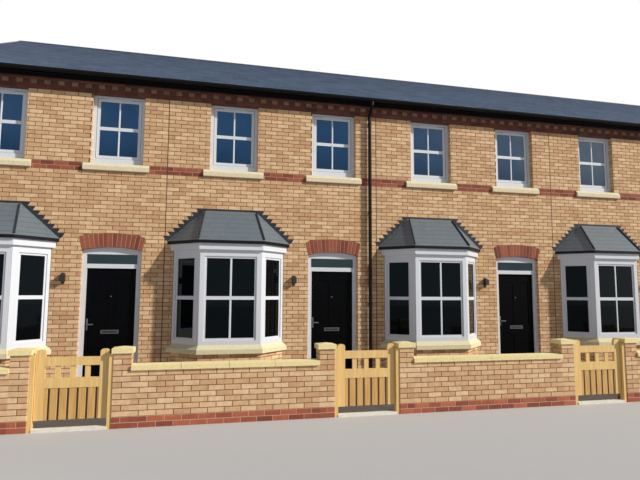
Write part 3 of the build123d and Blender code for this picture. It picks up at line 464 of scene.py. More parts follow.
# %% Front wall bricks
# Behind a bay, from 0.16 to 2.18 m of each house and up to 2.65 m, the wall is open or hidden.
BAY_COVERS = (0.16, 2.18)
BAY_COVER_TOP = 2.65
lower = movement_joints(bond(0, ROW, 0, STRING_FOOT, STRING_FOOT))
for start in house_starts:
    lower = cut(lower, start + BAY_COVERS[0], start + BAY_COVERS[1], 0.0, BAY_COVER_TOP)
    lower = cut(lower, start + DOOR_LEFT, start + DOOR_LEFT + DOOR_WIDTH, 0.0, DOOR_HEAD)
lower_quads = faces(lower)
for start in house_starts:
    lower_quads = trim_round_arch(lower_quads, start + DOOR_LEFT + half_door)
upper = movement_joints(bond(0, ROW, STRING_TOP, CORNICE_FOOT, STRING_TOP))
for x in window_xs:
    upper = cut(upper, x, x + WINDOW_WIDTH)
slab_piece("front_bricks", [(lower_quads, *front_plane), (faces(upper), *front_plane)], buff_brick)

# %% [markdown]
# ## Red bands, cornice courses and reveals
# Two red courses run at sill height, and the cornice steps out in two red courses with a row of
# header dentils between them. The sides of each opening show the ends of the wall's bricks. They
# could be left as mortar, but from the side that looks unfinished, so each course gets a slab there.

# %% String course and cornice
SILL_SIDE = 0.112
# How far the cornice's lower and upper red courses stand out of the wall.
STEP_LOW = 0.018
STEP_HIGH = 0.062
string = movement_joints(bond(0, ROW, STRING_FOOT, STRING_TOP, STRING_FOOT))
for x in window_xs:
    string = cut(string, x - SILL_SIDE, x + WINDOW_WIDTH + SILL_SIDE)
slab_piece("string_bricks", [(faces(string), *front_plane)], red_brick)
low_course = bond(0, ROW, CORNICE_FOOT, CORNICE_FOOT + COURSE, STRING_TOP)
high_course = bond(0, ROW, CORNICE_TOP - COURSE, CORNICE_TOP, STRING_TOP)
slab_piece("cornice_bricks", [(faces(low_course), (0, -STEP_LOW, 0), (1, 0, 0), {}),
                              (faces(high_course), (0, -STEP_HIGH, 0), (1, 0, 0), {})], cornice_red_painted_shade)

# %% Reveals
REVEAL = 0.1
DOOR_SETBACK = 0.07
# Height of the door step, where a doorway's reveals start.
DOOR_STEP = 0.18
# Of the bond's bits in one course of a reveal, the one over this share of its depth is kept.
MAIN_SHARE = 0.4


def reveal(x, faces_right, depth, foot, top, datum):
    """One brick to each course on the side of an opening at x, from the wall's face to y = depth."""
    cells = bond(0, depth, foot, top, datum, start=-BRICK)
    cells = cells[cells[:, 1] - cells[:, 0] > depth * MAIN_SHARE]
    cells[:, 0], cells[:, 1] = -JOINT / 2, depth + JOINT / 2
    along = (0, 1, 0) if faces_right else (0, -1, 0)
    return faces(cells), (x, 0 if faces_right else depth, 0), along, {}


sides = []
for x in window_xs:
    for edge_x, faces_right in ((x, True), (x + WINDOW_WIDTH, False)):
        sides.append(reveal(edge_x, faces_right, REVEAL, STRING_TOP, CORNICE_FOOT, STRING_TOP))
for start in house_starts:
    for edge_x, faces_right in ((start + DOOR_LEFT, True), (start + DOOR_LEFT + DOOR_WIDTH, False)):
        sides.append(reveal(edge_x, faces_right, DOOR_SETBACK, DOOR_STEP, DOOR_HEAD, STRING_FOOT))
slab_piece("reveal_bricks", sides, buff_brick)

# %% [markdown]
# ## Gable, back and end walls
# The gable is bonded into the front wall at the corner: where the front shows a whole brick, the
# gable shows that brick's end. Its top follows the roof, and the bricks there are cut along the
# slope. As at the arch, moving corners of the outlines is exact and keeps every slab closed. The
# back repeats the front's windows in two rows, and the far end is a plain wall of common brick.

# %% Roof line
PITCH = math.radians(28)
SLATE_EDGE = 5.68
SLATE_OVERHANG = 0.21
# Slates and deck are 100 mm thick together; the walls stop just under them.
ROOF_BUILD_UP = 0.103
UNDER_DECK = 0.01
LEAST_RISE = 0.006
LEAST_WEDGE = 0.012
roof_start = SLATE_EDGE + SLATE_OVERHANG * math.tan(PITCH) - ROOF_BUILD_UP / math.cos(PITCH) - UNDER_DECK


def trim_under_roof(quads, ridge_at):
    """Cuts outlines along the roof line z = roof_start + y*tan(pitch), where y is the distance from the
    nearer eaves wall. A corner whose brick's foot lies above the line moves in to where they meet, at
    y = (foot - roof_start)/tan(pitch), and an upper corner comes down to the line."""
    u, z = quads[..., 0], quads[..., 1]
    foot = z.min(axis=1, keepdims=True)
    least = (foot + LEAST_RISE - roof_start) / math.tan(PITCH)
    y = np.minimum(np.maximum(ridge_at - np.abs(u - ridge_at), least), ridge_at)
    side = np.sign(u.mean(axis=1, keepdims=True) - ridge_at)
    straddles = (u.min(axis=1, keepdims=True) < ridge_at) & (u.max(axis=1, keepdims=True) > ridge_at)
    u = np.where(straddles, u, ridge_at + side * (ridge_at - y))
    z = np.minimum(z, roof_start + y * math.tan(PITCH))
    wide = (u[:, [1, 2]] - u[:, [0, 3]]).min(axis=1)
    tall = (z[:, [3, 2]] - z[:, [0, 1]]).min(axis=1)
    return np.stack([u, z], -1)[(wide > LEAST_WEDGE) & (tall > HAIR)]


print("the gable's bricks meet the roof", round(roof_start, 3), "m up at the eaves")

# %% Gable and far end
# The bond runs up past the ridge, so that the roof line alone cuts it.
RIDGE_ABOVE = 8.4
# The red string course returns round the front corner as far as this.
STRING_RETURN = 0.3
LEVEL_SLACK = 0.01
gable = bond(0, DEPTH, 0, RIDGE_ABOVE, STRING_FOOT, start=DEPTH % BRICK, flip=1)
between = (gable[:, 2] > STRING_FOOT - LEVEL_SLACK) & (gable[:, 3] < STRING_TOP + LEVEL_SLACK)
at_string = between & (gable[:, 0] > DEPTH - STRING_RETURN)
gable_plane = ((0, DEPTH, 0), (0, -1, 0), {})
gable_faces = trim_under_roof(faces(gable[~at_string]), DEPTH / 2)
slab_piece("gable_bricks", [(gable_faces, *gable_plane)], buff_brick)
slab_piece("string_return_bricks", [(faces(gable[at_string]), *gable_plane)], red_brick)
end_faces = trim_under_roof(faces(bond(0, DEPTH, 0, RIDGE_ABOVE, STRING_FOOT, flip=1)), DEPTH / 2)
slab_piece("party_end_bricks", [(end_faces, (ROW, 0, 0), (0, 1, 0), {})], common_brick)

# %% Back wall
WINDOW_HEIGHT = 1.275
BACK_SILL = 1.08
SILL_HEIGHT = 0.13
back = movement_joints(bond(0, ROW, 0, CORNICE_TOP, STRING_FOOT))
back_sides = []
for x in window_xs:
    for foot in (STRING_TOP, BACK_SILL):
        left = ROW - x - WINDOW_WIDTH
        back = cut(back, left, left + WINDOW_WIDTH, foot, foot + WINDOW_HEIGHT)
        back = cut(back, left - SILL_SIDE, left + WINDOW_WIDTH + SILL_SIDE, foot - SILL_HEIGHT, foot)
        cells = reveal(x, True, REVEAL, foot, foot + WINDOW_HEIGHT, STRING_FOOT)[0]
        back_sides.append((cells, (x, DEPTH - REVEAL, 0), (0, 1, 0), {}))
        back_sides.append((cells, (x + WINDOW_WIDTH, DEPTH, 0), (0, -1, 0), {}))
slab_piece("back_bricks", [(faces(back), (ROW, DEPTH, 0), (-1, 0, 0), {})], buff_brick)
slab_piece("back_reveal_bricks", back_sides, buff_brick)

# %% [markdown]
# ## Bay plinths and garden walls
# Each bay stands on a low brick wall with two canted cheeks. The garden walls are one brick thick,
# with two red courses at the foot and piers that rise three courses higher. The piers are bonded
# by turns: two bricks side by side in one course, one across the next. The same grid of cells
# serves for all of them, laid on one vertical plane after another.

# %% Bay plinths
BAY_MIDDLE = 1.17
BAY_HALF = 0.56
BAY_REACH = 0.51
BAY_PLINTH_IN = 0.045
BAY_PLINTH_TOP = 0.725
# The cheeks run back at 45 degrees, so an inset moves each front corner by its tangent of half that.
BAY_MITRE = math.tan(math.radians(22.5))
SLANT = math.sqrt(0.5)
half = BAY_HALF - BAY_PLINTH_IN * BAY_MITRE
run = BAY_REACH - BAY_PLINTH_IN
cheek = run / SLANT
plinths = []
for start in house_starts:
    middle = start + BAY_MIDDLE
    for origin, along, length, flip in (((middle - half, -run, 0), (1, 0, 0), 2 * half, 0),
                                        ((middle + half, -run, 0), (SLANT, SLANT, 0), cheek, 1),
                                        ((middle - half - run, 0, 0), (SLANT, -SLANT, 0), cheek, 1)):
        cells = bond(0, length, 0, BAY_PLINTH_TOP, BAY_PLINTH_TOP, flip=flip)
        plinths.append((faces(cells), origin, along, {}))
slab_piece("bay_plinth_bricks", plinths, buff_brick)

# %% Garden walls and piers
GARDEN_FACE = -2.33
GARDEN_THICK = 0.215
GARDEN_TOP = 0.75
PIER_TOP = 0.975
PIER = 0.225
GATE_LEFT = 2.5725
GATE_WIDTH = 1.0125
RED_FOOT = 2 * COURSE
garden_back = GARDEN_FACE + GARDEN_THICK
pier_lefts = [0.0] + [start + x for start in house_starts for x in (GATE_LEFT - PIER, GATE_LEFT + GATE_WIDTH)]
buff_work, red_work = [], []


def lay(length, foot, top, origin, along, **layout):
    """Lays one face of garden brickwork, red below RED_FOOT and buff above it."""
    cells = bond(0, length, foot, top, 0.0, **layout)
    low = cells[:, 3] < RED_FOOT + LEVEL_SLACK
    if low.any():
        red_work.append((faces(cells[low]), origin, along, {}))
    buff_work.append((faces(cells[~low]), origin, along, {}))


for i, start in enumerate(house_starts):
    left = PIER if i == 0 else pier_lefts[2 * i] + PIER
    length = start + GATE_LEFT - PIER - left
    lay(length, 0, GARDEN_TOP, (left, GARDEN_FACE, 0), (1, 0, 0), start=length % BRICK)
    lay(length, 0, GARDEN_TOP, (left + length, garden_back, 0), (-1, 0, 0))
for k, x in enumerate(pier_lefts):
    gate_on_right = k % 2 == 1
    last_pier = k == len(pier_lefts) - 1
    right_foot = 0 if gate_on_right or last_pier else GARDEN_TOP
    left_foot = 0 if k == 0 or not gate_on_right else GARDEN_TOP
    lay(PIER, 0, PIER_TOP, (x, GARDEN_FACE, 0), (1, 0, 0))
    lay(PIER, 0, PIER_TOP, (x + PIER, garden_back, 0), (-1, 0, 0))
    lay(GARDEN_THICK, right_foot, PIER_TOP, (x + PIER, GARDEN_FACE, 0), (0, 1, 0), flip=1)
    lay(GARDEN_THICK, left_foot, PIER_TOP, (x, garden_back, 0), (0, -1, 0), flip=1)
slab_piece("garden_buff_bricks", buff_work, buff_brick)
slab_piece("garden_red_bricks", red_work, foot_red)

# %% [markdown]
# ## Gate boards
# The lower half of each gate is filled with matched boards. Each board has a small bevel down both
# edges, so two of them meet in a V-shaped groove, where the stain collects and which lies in shade.
# Lines in a bump map would look flat from the side, so each board is a slab with wide arrises, and a
# thin dark slab lies in each groove, for the pooled stain and, as painted shade, for the groove's shade.
# Both ride on their gate, so they swing with it.

# %% Gate timber
# Stained softwood: planed pine under a golden preservative, with upright grain about 10 mm wide.
gate_timber = noise_material("golden_stained_pine", "#eac782", "#dab26f", 22, 0.55, 0.4, stretch=(1, 1, 0.06))
# The boards: the same pine, flat-sawn, which takes up more of the stain.
board_timber = noise_material("stained_pine_boards", "#d9ae6b", "#b98c4e", 18, 0.6, 0.5,
                              stretch=(1, 1, 0.05))
# The same stain where it pools in the grooves, several coats thick, so it is dark brown; the strip is
# also painted shade, for the shade in each groove.
pooled_stain_and_shade = noise_material("pooled_stain_and_groove_shade", "#38200c", "#281606", 15, 0.6, 0.3, stretch=(1, 1, 0.1))
print("gates of", gate_timber.name)

# %% Gate boards
# From a gateway's side come the post with its running gap, and then the gate's stile.
POST_AND_GAP = 0.062
STILE = 0.112
BOARD_FACE = -2.263
BOARD_FOOT, BOARD_TOP = 0.136, 0.541
BOARD_PITCH = 0.115
FIRST_GROOVE = 0.058
GROOVE = 0.024
boards_left = GATE_LEFT + POST_AND_GAP + STILE
boards_right = GATE_LEFT + GATE_WIDTH - POST_AND_GAP - STILE
groove_xs = np.arange(boards_left + FIRST_GROOVE, boards_right - GROOVE / 2, BOARD_PITCH)
board_lefts = np.concatenate([[boards_left], groove_xs + GROOVE / 2])
board_rights = np.concatenate([groove_xs - GROOVE / 2, [boards_right]])
boards = np.stack([board_lefts, board_rights, np.full_like(board_lefts, BOARD_FOOT),
                   np.full_like(board_lefts, BOARD_TOP)], 1)
grooves = np.stack([groove_xs - GROOVE / 2, groove_xs + GROOVE / 2, np.full_like(groove_xs, BOARD_FOOT),
                    np.full_like(groove_xs, BOARD_TOP)], 1)
board_shape = {"edge": 0.003, "proud": 0.006, "arris": 0.004}
groove_shape = {"edge": 0.0003, "proud": 0.001}
for number, start in enumerate(house_starts, start=1):
    body = f"garden_gate_{number}"
    plane = ((start, BOARD_FACE, 0), (1, 0, 0))
    slab_piece(f"gate_{number}_boards", [(box_corners(boards), *plane, board_shape)], board_timber,
               body)
    slab_piece(f"gate_{number}_grooves", [(box_corners(grooves), *plane, groove_shape)], pooled_stain_and_shade,
               body)

# %% [markdown]
# ## Letter flaps
# The middle of each letter plate is a sprung flap, which swings inward. It is drawn darker than its
# rim, as a painted reflection of the dim view its metal mirrors. It is one bevelled slab on the plate,
# and rides on its door.

# %% Letter flaps
FLAP_WIDTH, FLAP_HEIGHT = 0.25, 0.036
# The flap's middle, from the doorway's left side and from the ground.
FLAP_MIDDLE = (0.5, 1.0855)
FLAP_FACE = 0.098
# Flaps: a pressed zinc plate, brushed along its length, drawn dark as a painted reflection of the dim
# view it mirrors. The lines are under 1 mm apart; 12 mm is the finest that still shows.
flap_painted_reflection = noise_material("zinc_flap_painted_reflection", "#24262a", "#17191c", 12, 0.35, 0.1, stretch=(0.1, 1, 1))
flap_shape = {"edge": 0.001, "proud": 0.002}
flap_foot = FLAP_MIDDLE[1] - FLAP_HEIGHT / 2
for number, start in enumerate(house_starts, start=1):
    left = start + DOOR_LEFT + FLAP_MIDDLE[0] - FLAP_WIDTH / 2
    outline = box_corners([(0, FLAP_WIDTH, 0, FLAP_HEIGHT)])
    slab_piece(f"door_{number}_flap", [(outline, (left, FLAP_FACE, flap_foot), (1, 0, 0), flap_shape)],
               flap_painted_reflection, f"front_door_{number}")

# %% [markdown]
# ## Movement joints
# Long brick walls are cut by a soft joint at each party wall, so that they can swell without
# cracking. It is filled with a dark brown sealant, set just behind the brick faces. A line of
# colour on the mortar would do from afar, but a strip of its own has its own gloss.

# %% Sealant strips
# Polysulphide sealant: gunned into the joint and tooled flat. Dull brown rubber with a wavy skin.
sealant, tree, shader, place = new_material("brown_polysulphide_sealant", "#4a3222", 0.7)
# The tool leaves waves about 25 mm long.
skin = add(tree, "ShaderNodeTexNoise", Vector=place, Scale=40.0)
bump = add(tree, "ShaderNodeBump", Height=skin.outputs[0], Distance=0.001, Strength=0.4)
tree.links.new(bump.outputs[0], shader.inputs["Normal"])
strips, back_strips = [], []
for start in house_starts[1:]:
    for foot, top in ((0.0, STRING_FOOT), (STRING_FOOT, STRING_TOP), (STRING_TOP, CORNICE_FOOT)):
        strips.append((start - MOVEMENT, start + MOVEMENT, foot, top))
    back_strips.append((ROW - start - MOVEMENT, ROW - start + MOVEMENT, 0.0, CORNICE_TOP))
thin = {"edge": 0.0008, "proud": 0.0015, "arris": 0.001}
slab_piece("sealant_strips", [(box_corners(strips), (0, 0, 0), (1, 0, 0), thin),
                              (box_corners(back_strips), (ROW, DEPTH, 0), (-1, 0, 0), thin)], sealant)

# %% [markdown]
# ## Slates
# The roof is of fibre-cement slates 250 mm wide that show 200 mm of their length. Each one lies on
# the tail of the one below, so it is a wedge: about 8 mm proud at its tail and thin at its head.
# A bump map could fake the steps, but not their edge against the light, so each slate is six
# faces. They are smooth and grey, and weather to slightly different greys.

# %% Slate finish
# Fibre-cement slate: cement and fibres pressed into thin sheets, with a dull blue-grey coat.
# Its pale blue specular tint is a painted reflection: it turns the white studio's mirroring blue.
slate, tree, shader, place = new_material("fibre_cement_slate", "#455265", 0.7, Specular_IOR_Level=0.3,
                                          Specular_Tint=linear("#9db8e4"))
tone = add(tree, "ShaderNodeAttribute", {"attribute_name": "tone"}).outputs["Fac"]
greys = add(tree, "ShaderNodeMix", MIX, i0=tone, i6=linear("#2d3c50"), i7=linear("#43546b"))
# Weathering drifts over about a metre of roof.
drift = add(tree, "ShaderNodeTexNoise", Vector=place, Scale=1.2, Detail=3.0)
weather = add(tree, "ShaderNodeMapRange", i0=drift.outputs[0], i1=0.3, i2=0.7, i3=0.0, i4=0.3)
weathered = add(tree, "ShaderNodeMix", MIX, i0=weather.outputs[0], i6=greys.outputs[2], i7=linear("#4b5b70"))
tree.links.new(weathered.outputs[2], shader.inputs["Base Color"])
# The pressed face is nearly smooth; its faint ripple turns over every 17 mm.
grain = add(tree, "ShaderNodeTexNoise", Vector=place, Scale=60.0, Detail=3.0)
bump = add(tree, "ShaderNodeBump", Height=grain.outputs[0], Distance=0.001, Strength=0.3)
tree.links.new(bump.outputs[0], shader.inputs["Normal"])
# Between the slates the ones below show. They are drawn darker as painted shade, for the shade of the laps.
slate_laps_painted_shade = noise_material("slate_in_the_laps_painted_shade", "#262d37", "#1b2028", 60, 0.9, Specular_IOR_Level=0.1)
print("slate finish ready")

# %% Slates
GAUGE = 0.2
SLATE_WIDTH = 0.25
SLATE_GAP = 0.005
SLATE_LAP = 0.01
# The slates start this far in from the gable's face, beside the verge trim.
VERGE_IN = 0.03
# The slates end this far before the ridge, under the ridge tiles.
RIDGE_IN = 0.13
# Heights over the roof plane: under a slate, at its tail, and at its head.
UNDERSIDE, TAIL, HEAD = -0.001, 0.0085, 0.0015
WEDGE_QUADS = np.array([(3, 2, 1, 0), (4, 5, 6, 7), (0, 1, 5, 4), (1, 2, 6, 5), (2, 3, 7, 6), (3, 0, 4, 7)])


def slate_slope(name, behind):
    """Wedges on one slope. A point (x, s, h) lies at y = -overhang + s*cos(pitch) - h*sin(pitch) and
    z = edge + s*sin(pitch) + h*cos(pitch). The back slope mirrors y about the ridge."""
    length = (DEPTH / 2 - RIDGE_IN + SLATE_OVERHANG) / math.cos(PITCH)
    rows = np.arange(math.ceil(length / GAUGE))
    columns = np.arange(-1, math.ceil(ROW / SLATE_WIDTH) + 1)
    k, m = (grid.ravel() for grid in np.meshgrid(rows, columns, indexing="ij"))
    left = np.clip(VERGE_IN + (m + k % 2 / 2) * SLATE_WIDTH, VERGE_IN, ROW)
    right = np.clip(VERGE_IN + (m + 1 + k % 2 / 2) * SLATE_WIDTH, VERGE_IN, ROW) - SLATE_GAP
    keep = right - left > LEAST_LENGTH
    k, left, right = k[keep], left[keep], right[keep]
    tail, head = k * GAUGE, np.minimum((k + 1) * GAUGE + SLATE_LAP, length)
    x = np.stack([left, right, right, left] * 2, 1)
    s = np.stack([tail, tail, head, head] * 2, 1)
    h = np.tile([UNDERSIDE] * 4 + [TAIL, TAIL, HEAD, HEAD], (len(k), 1))
    y = -SLATE_OVERHANG + s * math.cos(PITCH) - h * math.sin(PITCH)
    z = SLATE_EDGE + s * math.sin(PITCH) + h * math.cos(PITCH)
    wedge = WEDGE_QUADS
    if behind:
        y, wedge = DEPTH - y, WEDGE_QUADS[:, ::-1]
    quads = (np.arange(len(k)) * 8)[:, None, None] + wedge
    tone = np.repeat(chance.random(len(k)), 8)
    return make_piece(name, np.stack([x, y, z], -1), quads.reshape(-1, 4), slate, tone=tone)


slate_slope("front_slates", False)
slate_slope("back_slates", True)

# %% [markdown]
# ## Arch soffits
# The underside of each arch shows over the door frame. Its bricks lie on a curve, so flat slabs are
# made in arc length and depth and then rolled onto the arc, which keeps their arrises even.

# %% Arch soffit bricks
arc_edges = edges * arch_inner
arc_cells = np.stack([arc_edges[:-1], arc_edges[1:], np.zeros(VOUSSOIRS),
                      np.full(VOUSSOIRS, DOOR_SETBACK)], 1)
soffit_points, soffit_quads = [], []
for number, start in enumerate(house_starts):
    flat, quads = slab_mesh(faces(arc_cells), (0, 0, 0), (1, 0, 0), up=(0, 1, 0), proud=0.002, edge=0.001)
    # A flat point (a, y, d) rolls to the angle a/radius and the distance radius + d from the arc's centre.
    angle, radius = flat[:, 0] / arch_inner, arch_inner - flat[:, 2]
    soffit_points.append(np.stack([start + DOOR_LEFT + half_door - radius * np.sin(angle), flat[:, 1],
                                   arch_centre + radius * np.cos(angle)], 1))
    soffit_quads.append(quads + number * len(flat))
soffit_points = np.concatenate(soffit_points)
soffit_tone = np.repeat(chance.random(len(soffit_points) // SLAB_CORNERS), SLAB_CORNERS)
make_piece("arch_soffit_bricks", soffit_points, np.concatenate(soffit_quads), red_brick,
           tone=soffit_tone)

# %% [markdown]
# ## Cover strip
# A black strip covers the joint between the soffit and the cornice, over the upper half of the top
# red course. In the picture it makes the black band under the gutter as deep as it is. It could be
# part of a deeper fascia, but the solids stay as they are, so it is laid on the course as thin
# slabs, 4 m long as such strips are sold, with a hair's gap where two meet.

# %% Cover strip
# Black PVC-u: plastic pushed through a die, as for the pipes. Nearly black, satin and a little uneven.
black_pvc = noise_material("black_pvcu", "#0e0f11", "#08090a", 60, 0.45, 0.2, Specular_IOR_Level=0.15)
STRIP_HEIGHT = 0.036
STRIP_LENGTH = 4.0
STRIP_GAP = 0.001
strip_shape = {"edge": 0.006, "proud": 0.008, "arris": 0.001}
strip_cells = [(left, min(left + STRIP_LENGTH, ROW) - STRIP_GAP, CORNICE_TOP - STRIP_HEIGHT,
                CORNICE_TOP - STRIP_GAP) for left in np.arange(0.0, ROW, STRIP_LENGTH)]
slab_piece("eaves_cover_strips", [(box_corners(strip_cells), (0, -STEP_HIGH, 0), (1, 0, 0), strip_shape)],
           black_pvc)

# %% [markdown]
# ## Window trim
# The frames are white PVC-u profiles welded at the corners, and their solids come from the packed
# model. Black rubber gaskets hold the double glazing, a dark strip of painted shade marks the gap round
# each sash, and flat white bars stuck on the glass divide each pane in two. A night vent sits in the
# head of each upper window. These strips are too thin for the solids, so they are slabs laid on the
# frame's planes.

# %% White plastic and rubber
# White PVC-u: plastic pushed through a die into long hollow profiles. Clean, white and glossy.
pvc, tree, shader, place = new_material("white_pvcu", "#d7dbe1", 0.32)
# Extruded PVC-u has a faint drag along its length; 12 mm waves are the finest that show.
drag = add(tree, "ShaderNodeTexNoise", Vector=place, Scale=80.0, Detail=1.0)
gloss = add(tree, "ShaderNodeMapRange", i0=drag.outputs[0], i3=0.26, i4=0.4)
tree.links.new(gloss.outputs[0], shader.inputs["Roughness"])
# Rubber seal: a black extruded strip, matt and a little dusty, in patches about 30 mm long.
rubber, tree, shader, place = new_material("epdm_glazing_gasket", "#15171a", 0.6)
dust = add(tree, "ShaderNodeTexNoise", Vector=place, Scale=30.0)
dusty = add(tree, "ShaderNodeMix", MIX, i0=dust.outputs[0], i6=linear("#101214"), i7=linear("#26282b"))
tree.links.new(dusty.outputs[2], shader.inputs["Base Color"])
print("trim of", pvc.name, "and", rubber.name)

# %% Trim outlines
GASKET = 0.006
SASH_GAP = 0.007
gasket_shape = {"edge": 0.0015, "proud": 0.003, "arris": 0.001}
bar_shape = {"edge": 0.004, "proud": 0.009, "arris": 0.005}
gaskets, bars, vents, gaps = [], [], [], []


def trim_window(origin, along, panes, left, right, bar):
    """On the glass plane through origin, each pane (foot, top) gets a gasket strip down each side and
    along its foot and head, and a bar of width bar from (left + right)/2 - bar/2, unless bar is 0."""
    middle = (left + right) / 2
    for foot, top in panes:
        strips = [(left, left + GASKET, foot, top), (right - GASKET, right, foot, top),
                  (left + GASKET, right - GASKET, foot, foot + GASKET),
                  (left + GASKET, right - GASKET, top - GASKET, top)]
        gaskets.append((box_corners(strips), origin, along, gasket_shape))
        if bar:
            outline = box_corners([(middle - bar / 2, middle + bar / 2, foot, top)])
            bars.append((outline, origin, along, bar_shape))


def sash_gap_shade(left, right, foot, top):
    """Painted shade for the gap round a closed sash: four dark strips, SASH_GAP wide, in the frame's step."""
    inner_foot, inner_top = foot + SASH_GAP, top - SASH_GAP
    return box_corners([(left, right, foot, inner_foot), (left, right, inner_top, top),
                        (left, left + SASH_GAP, inner_foot, inner_top),
                        (right - SASH_GAP, right, inner_foot, inner_top)])


print("gaskets", 1000 * GASKET, "mm and sash gaps", 1000 * SASH_GAP, "mm wide")

# %% Upper and back windows
# Foot and top of the lower and the upper pane, over the foot of the window's opening.
UPPER_PANES = ((0.17, 0.6425), (0.7045, 1.177))
FRAME_SIDE = 0.12
BAR = 0.03
# Depths behind a frame's face: its step round the sash, and the glass.
SASH_STEP = 0.018
GLASS_BACK = 0.030
SASH_EDGE, SASH_FOOT, SASH_TOP = 0.062, 0.112, 1.235
VENT_WIDTH, VENT_HEIGHT, VENT_DOWN = 0.4, 0.022, 0.06
gap_shape = {"edge": 0.0004, "proud": 0.001, "arris": 0.0005}
vent_shape = {"edge": 0.006, "proud": 0.012, "arris": 0.005}
glass_y = REVEAL + GLASS_BACK
gap_outline = sash_gap_shade(SASH_EDGE, WINDOW_WIDTH - SASH_EDGE, SASH_FOOT, SASH_TOP)
vent_left = (WINDOW_WIDTH - VENT_WIDTH) / 2
vent_foot = WINDOW_HEIGHT - VENT_DOWN
vent_outline = box_corners([(vent_left, vent_left + VENT_WIDTH, vent_foot, vent_foot + VENT_HEIGHT)])
for x in window_xs:
    for foot, face_y, along, left in ((STRING_TOP, glass_y, (1, 0, 0), x),
                                      (STRING_TOP, DEPTH - glass_y, (-1, 0, 0), x + WINDOW_WIDTH),
                                      (BACK_SILL, DEPTH - glass_y, (-1, 0, 0), x + WINDOW_WIDTH)):
        trim_window((left, face_y, foot), along, UPPER_PANES, FRAME_SIDE, WINDOW_WIDTH - FRAME_SIDE, BAR)
        step_y = face_y + (SASH_STEP - GLASS_BACK) * along[0]
        head_y = REVEAL if along[0] > 0 else DEPTH - REVEAL
        gaps.append((gap_outline, (left, step_y, foot), along, gap_shape))
        vents.append((vent_outline, (left, head_y, foot), along, vent_shape))
print(len(vents), "windows trimmed")

# %% Bay windows
BAY_FRAME_IN = 0.048
# Foot and top of a bay's lower and upper panes, over the ground.
BAY_PANES = ((0.99, 1.659), (1.721, 2.39))
BAY_BAR = 0.036
# Frame members at a front window's ends, and where the pane of a cheek starts and ends.
BAY_MEMBER = 0.119
CHEEK_PANE = (0.15, 0.5604)
front_half = BAY_HALF - BAY_FRAME_IN * BAY_MITRE
reach = BAY_REACH - BAY_FRAME_IN
cheek_length = reach / SLANT
back_off = GLASS_BACK * SLANT
left_cheek_pane = (cheek_length - CHEEK_PANE[1], cheek_length - CHEEK_PANE[0])
for start in house_starts:
    middle = start + BAY_MIDDLE
    front_origin = (middle - front_half, -reach + GLASS_BACK, 0)
    right_origin = (middle + front_half - back_off, -reach + back_off, 0)
    left_origin = (middle - front_half - reach + back_off, back_off, 0)
    trim_window(front_origin, (1, 0, 0), BAY_PANES, BAY_MEMBER, 2 * front_half - BAY_MEMBER, BAY_BAR)
    trim_window(right_origin, (SLANT, SLANT, 0), BAY_PANES, *CHEEK_PANE, 0)
    trim_window(left_origin, (SLANT, -SLANT, 0), BAY_PANES, *left_cheek_pane, 0)
slab_piece("glazing_gaskets", gaskets, rubber)
# The sash gaps are painted shade, in the gasket's black rubber.
slab_piece("sash_gaps_painted_shade", gaps, rubber)
slab_piece("glazing_bars", bars, pvc)
slab_piece("night_vents", vents, pvc)

# %% [markdown]
# ## Masonry finishes of the solids
# Each solid keeps its shape and gets a finish made from nodes. Sills and copings are cast stone,
# which looks like limestone but is even, because it comes out of a mould. An image of stone would
# repeat along the row, so two close tones of noise stand for the sand in it. What is seen of the
# wall solids is the mortar between the bricks, so they take mortar.

# %% Masonry finishes
# Reconstituted stone: crushed limestone and white cement, cast in moulds, even and slightly grainy.
# The grains are 2 mm; what shows from here is their clouds, about 30 mm across.
cast_stone = noise_material("cast_limestone", "#e4dabb", "#d7caa5", 30, 0.85, 0.4)
# Coping stone: the same casting with more yellow sand in it.
coping_stone = noise_material("yellow_cast_stone", "#f2e1a9", "#e4d296", 35, 0.85, 0.5)
# Bay sill stone: the same casting from another batch of sand, paler than the copings.
bay_stone = noise_material("cream_cast_stone", "#e0d7b1", "#d3c9a2", 30, 0.85, 0.4)
# Floated concrete: fine grey cement skin, with cloudy patches half a metre across.
concrete = noise_material("floated_concrete", "#b5b1a8", "#98948b", 400, 0.9, 1.0)
# Header bricks of the dentil course: the ends of fired buff bricks, sandy, drawn dark brown as painted
# shade for the shade under the eaves, one tone to each header, so the noise turns over every brick.
dentil_brick_painted_shade = noise_material("buff_header_brick_painted_shade", "#93755d", "#765b47", 225, 0.92, 0.8)
# Beds and backs of the cornice bricks, seen between the dentils and under the steps: red clay as the
# wire left it, rough and dull, drawn dark as painted shade for those recesses.
cornice_beds_painted_shade = noise_material("cornice_brick_beds_painted_shade", "#6a4438", "#54342b", 120, 0.9, 0.8)
# Concrete edging under the gates: cast smooth in steel moulds, nearly white when new.
edging = noise_material("pale_concrete_edging", "#e9e6d8", "#dbd7c8", 60, 0.85, 0.4)
# Cement mortar of the plain walls: rubbed flush with sacking, so it is rough and greyish.
common_mortar = noise_material("rough_cement_mortar", "#b8a084", "#9c866c", 150, 0.95, 1.0)
print("stones", cast_stone.name, coping_stone.name, bay_stone.name)

# %% [markdown]
# ## Timber, paint, plastic and metal
# Doors, lanterns, lead and floors each have one finish. Timber and the door's skin get noise drawn
# out along the grain, and sheets and castings get noise that is the same all ways. The nickel of
# the handles and hinges is the one bright metal, so it alone is fully metallic.

# %% Timber, paint, plastic and metal
# Softwood of the roof deck: bandsawn, so it is rough, with grain along the row.
roof_timber = noise_material("sawn_softwood", "#b99a6c", "#987a50", 40, 0.8, 0.8, stretch=(0.06, 1, 1))
# Chipboard floor panels: wood chips pressed with glue. Chips are 3 mm; 8 mm is the finest that still shows.
floor_board = noise_material("flooring_chipboard", "#c2a472", "#a8875a", 8, 0.7, 0.3)
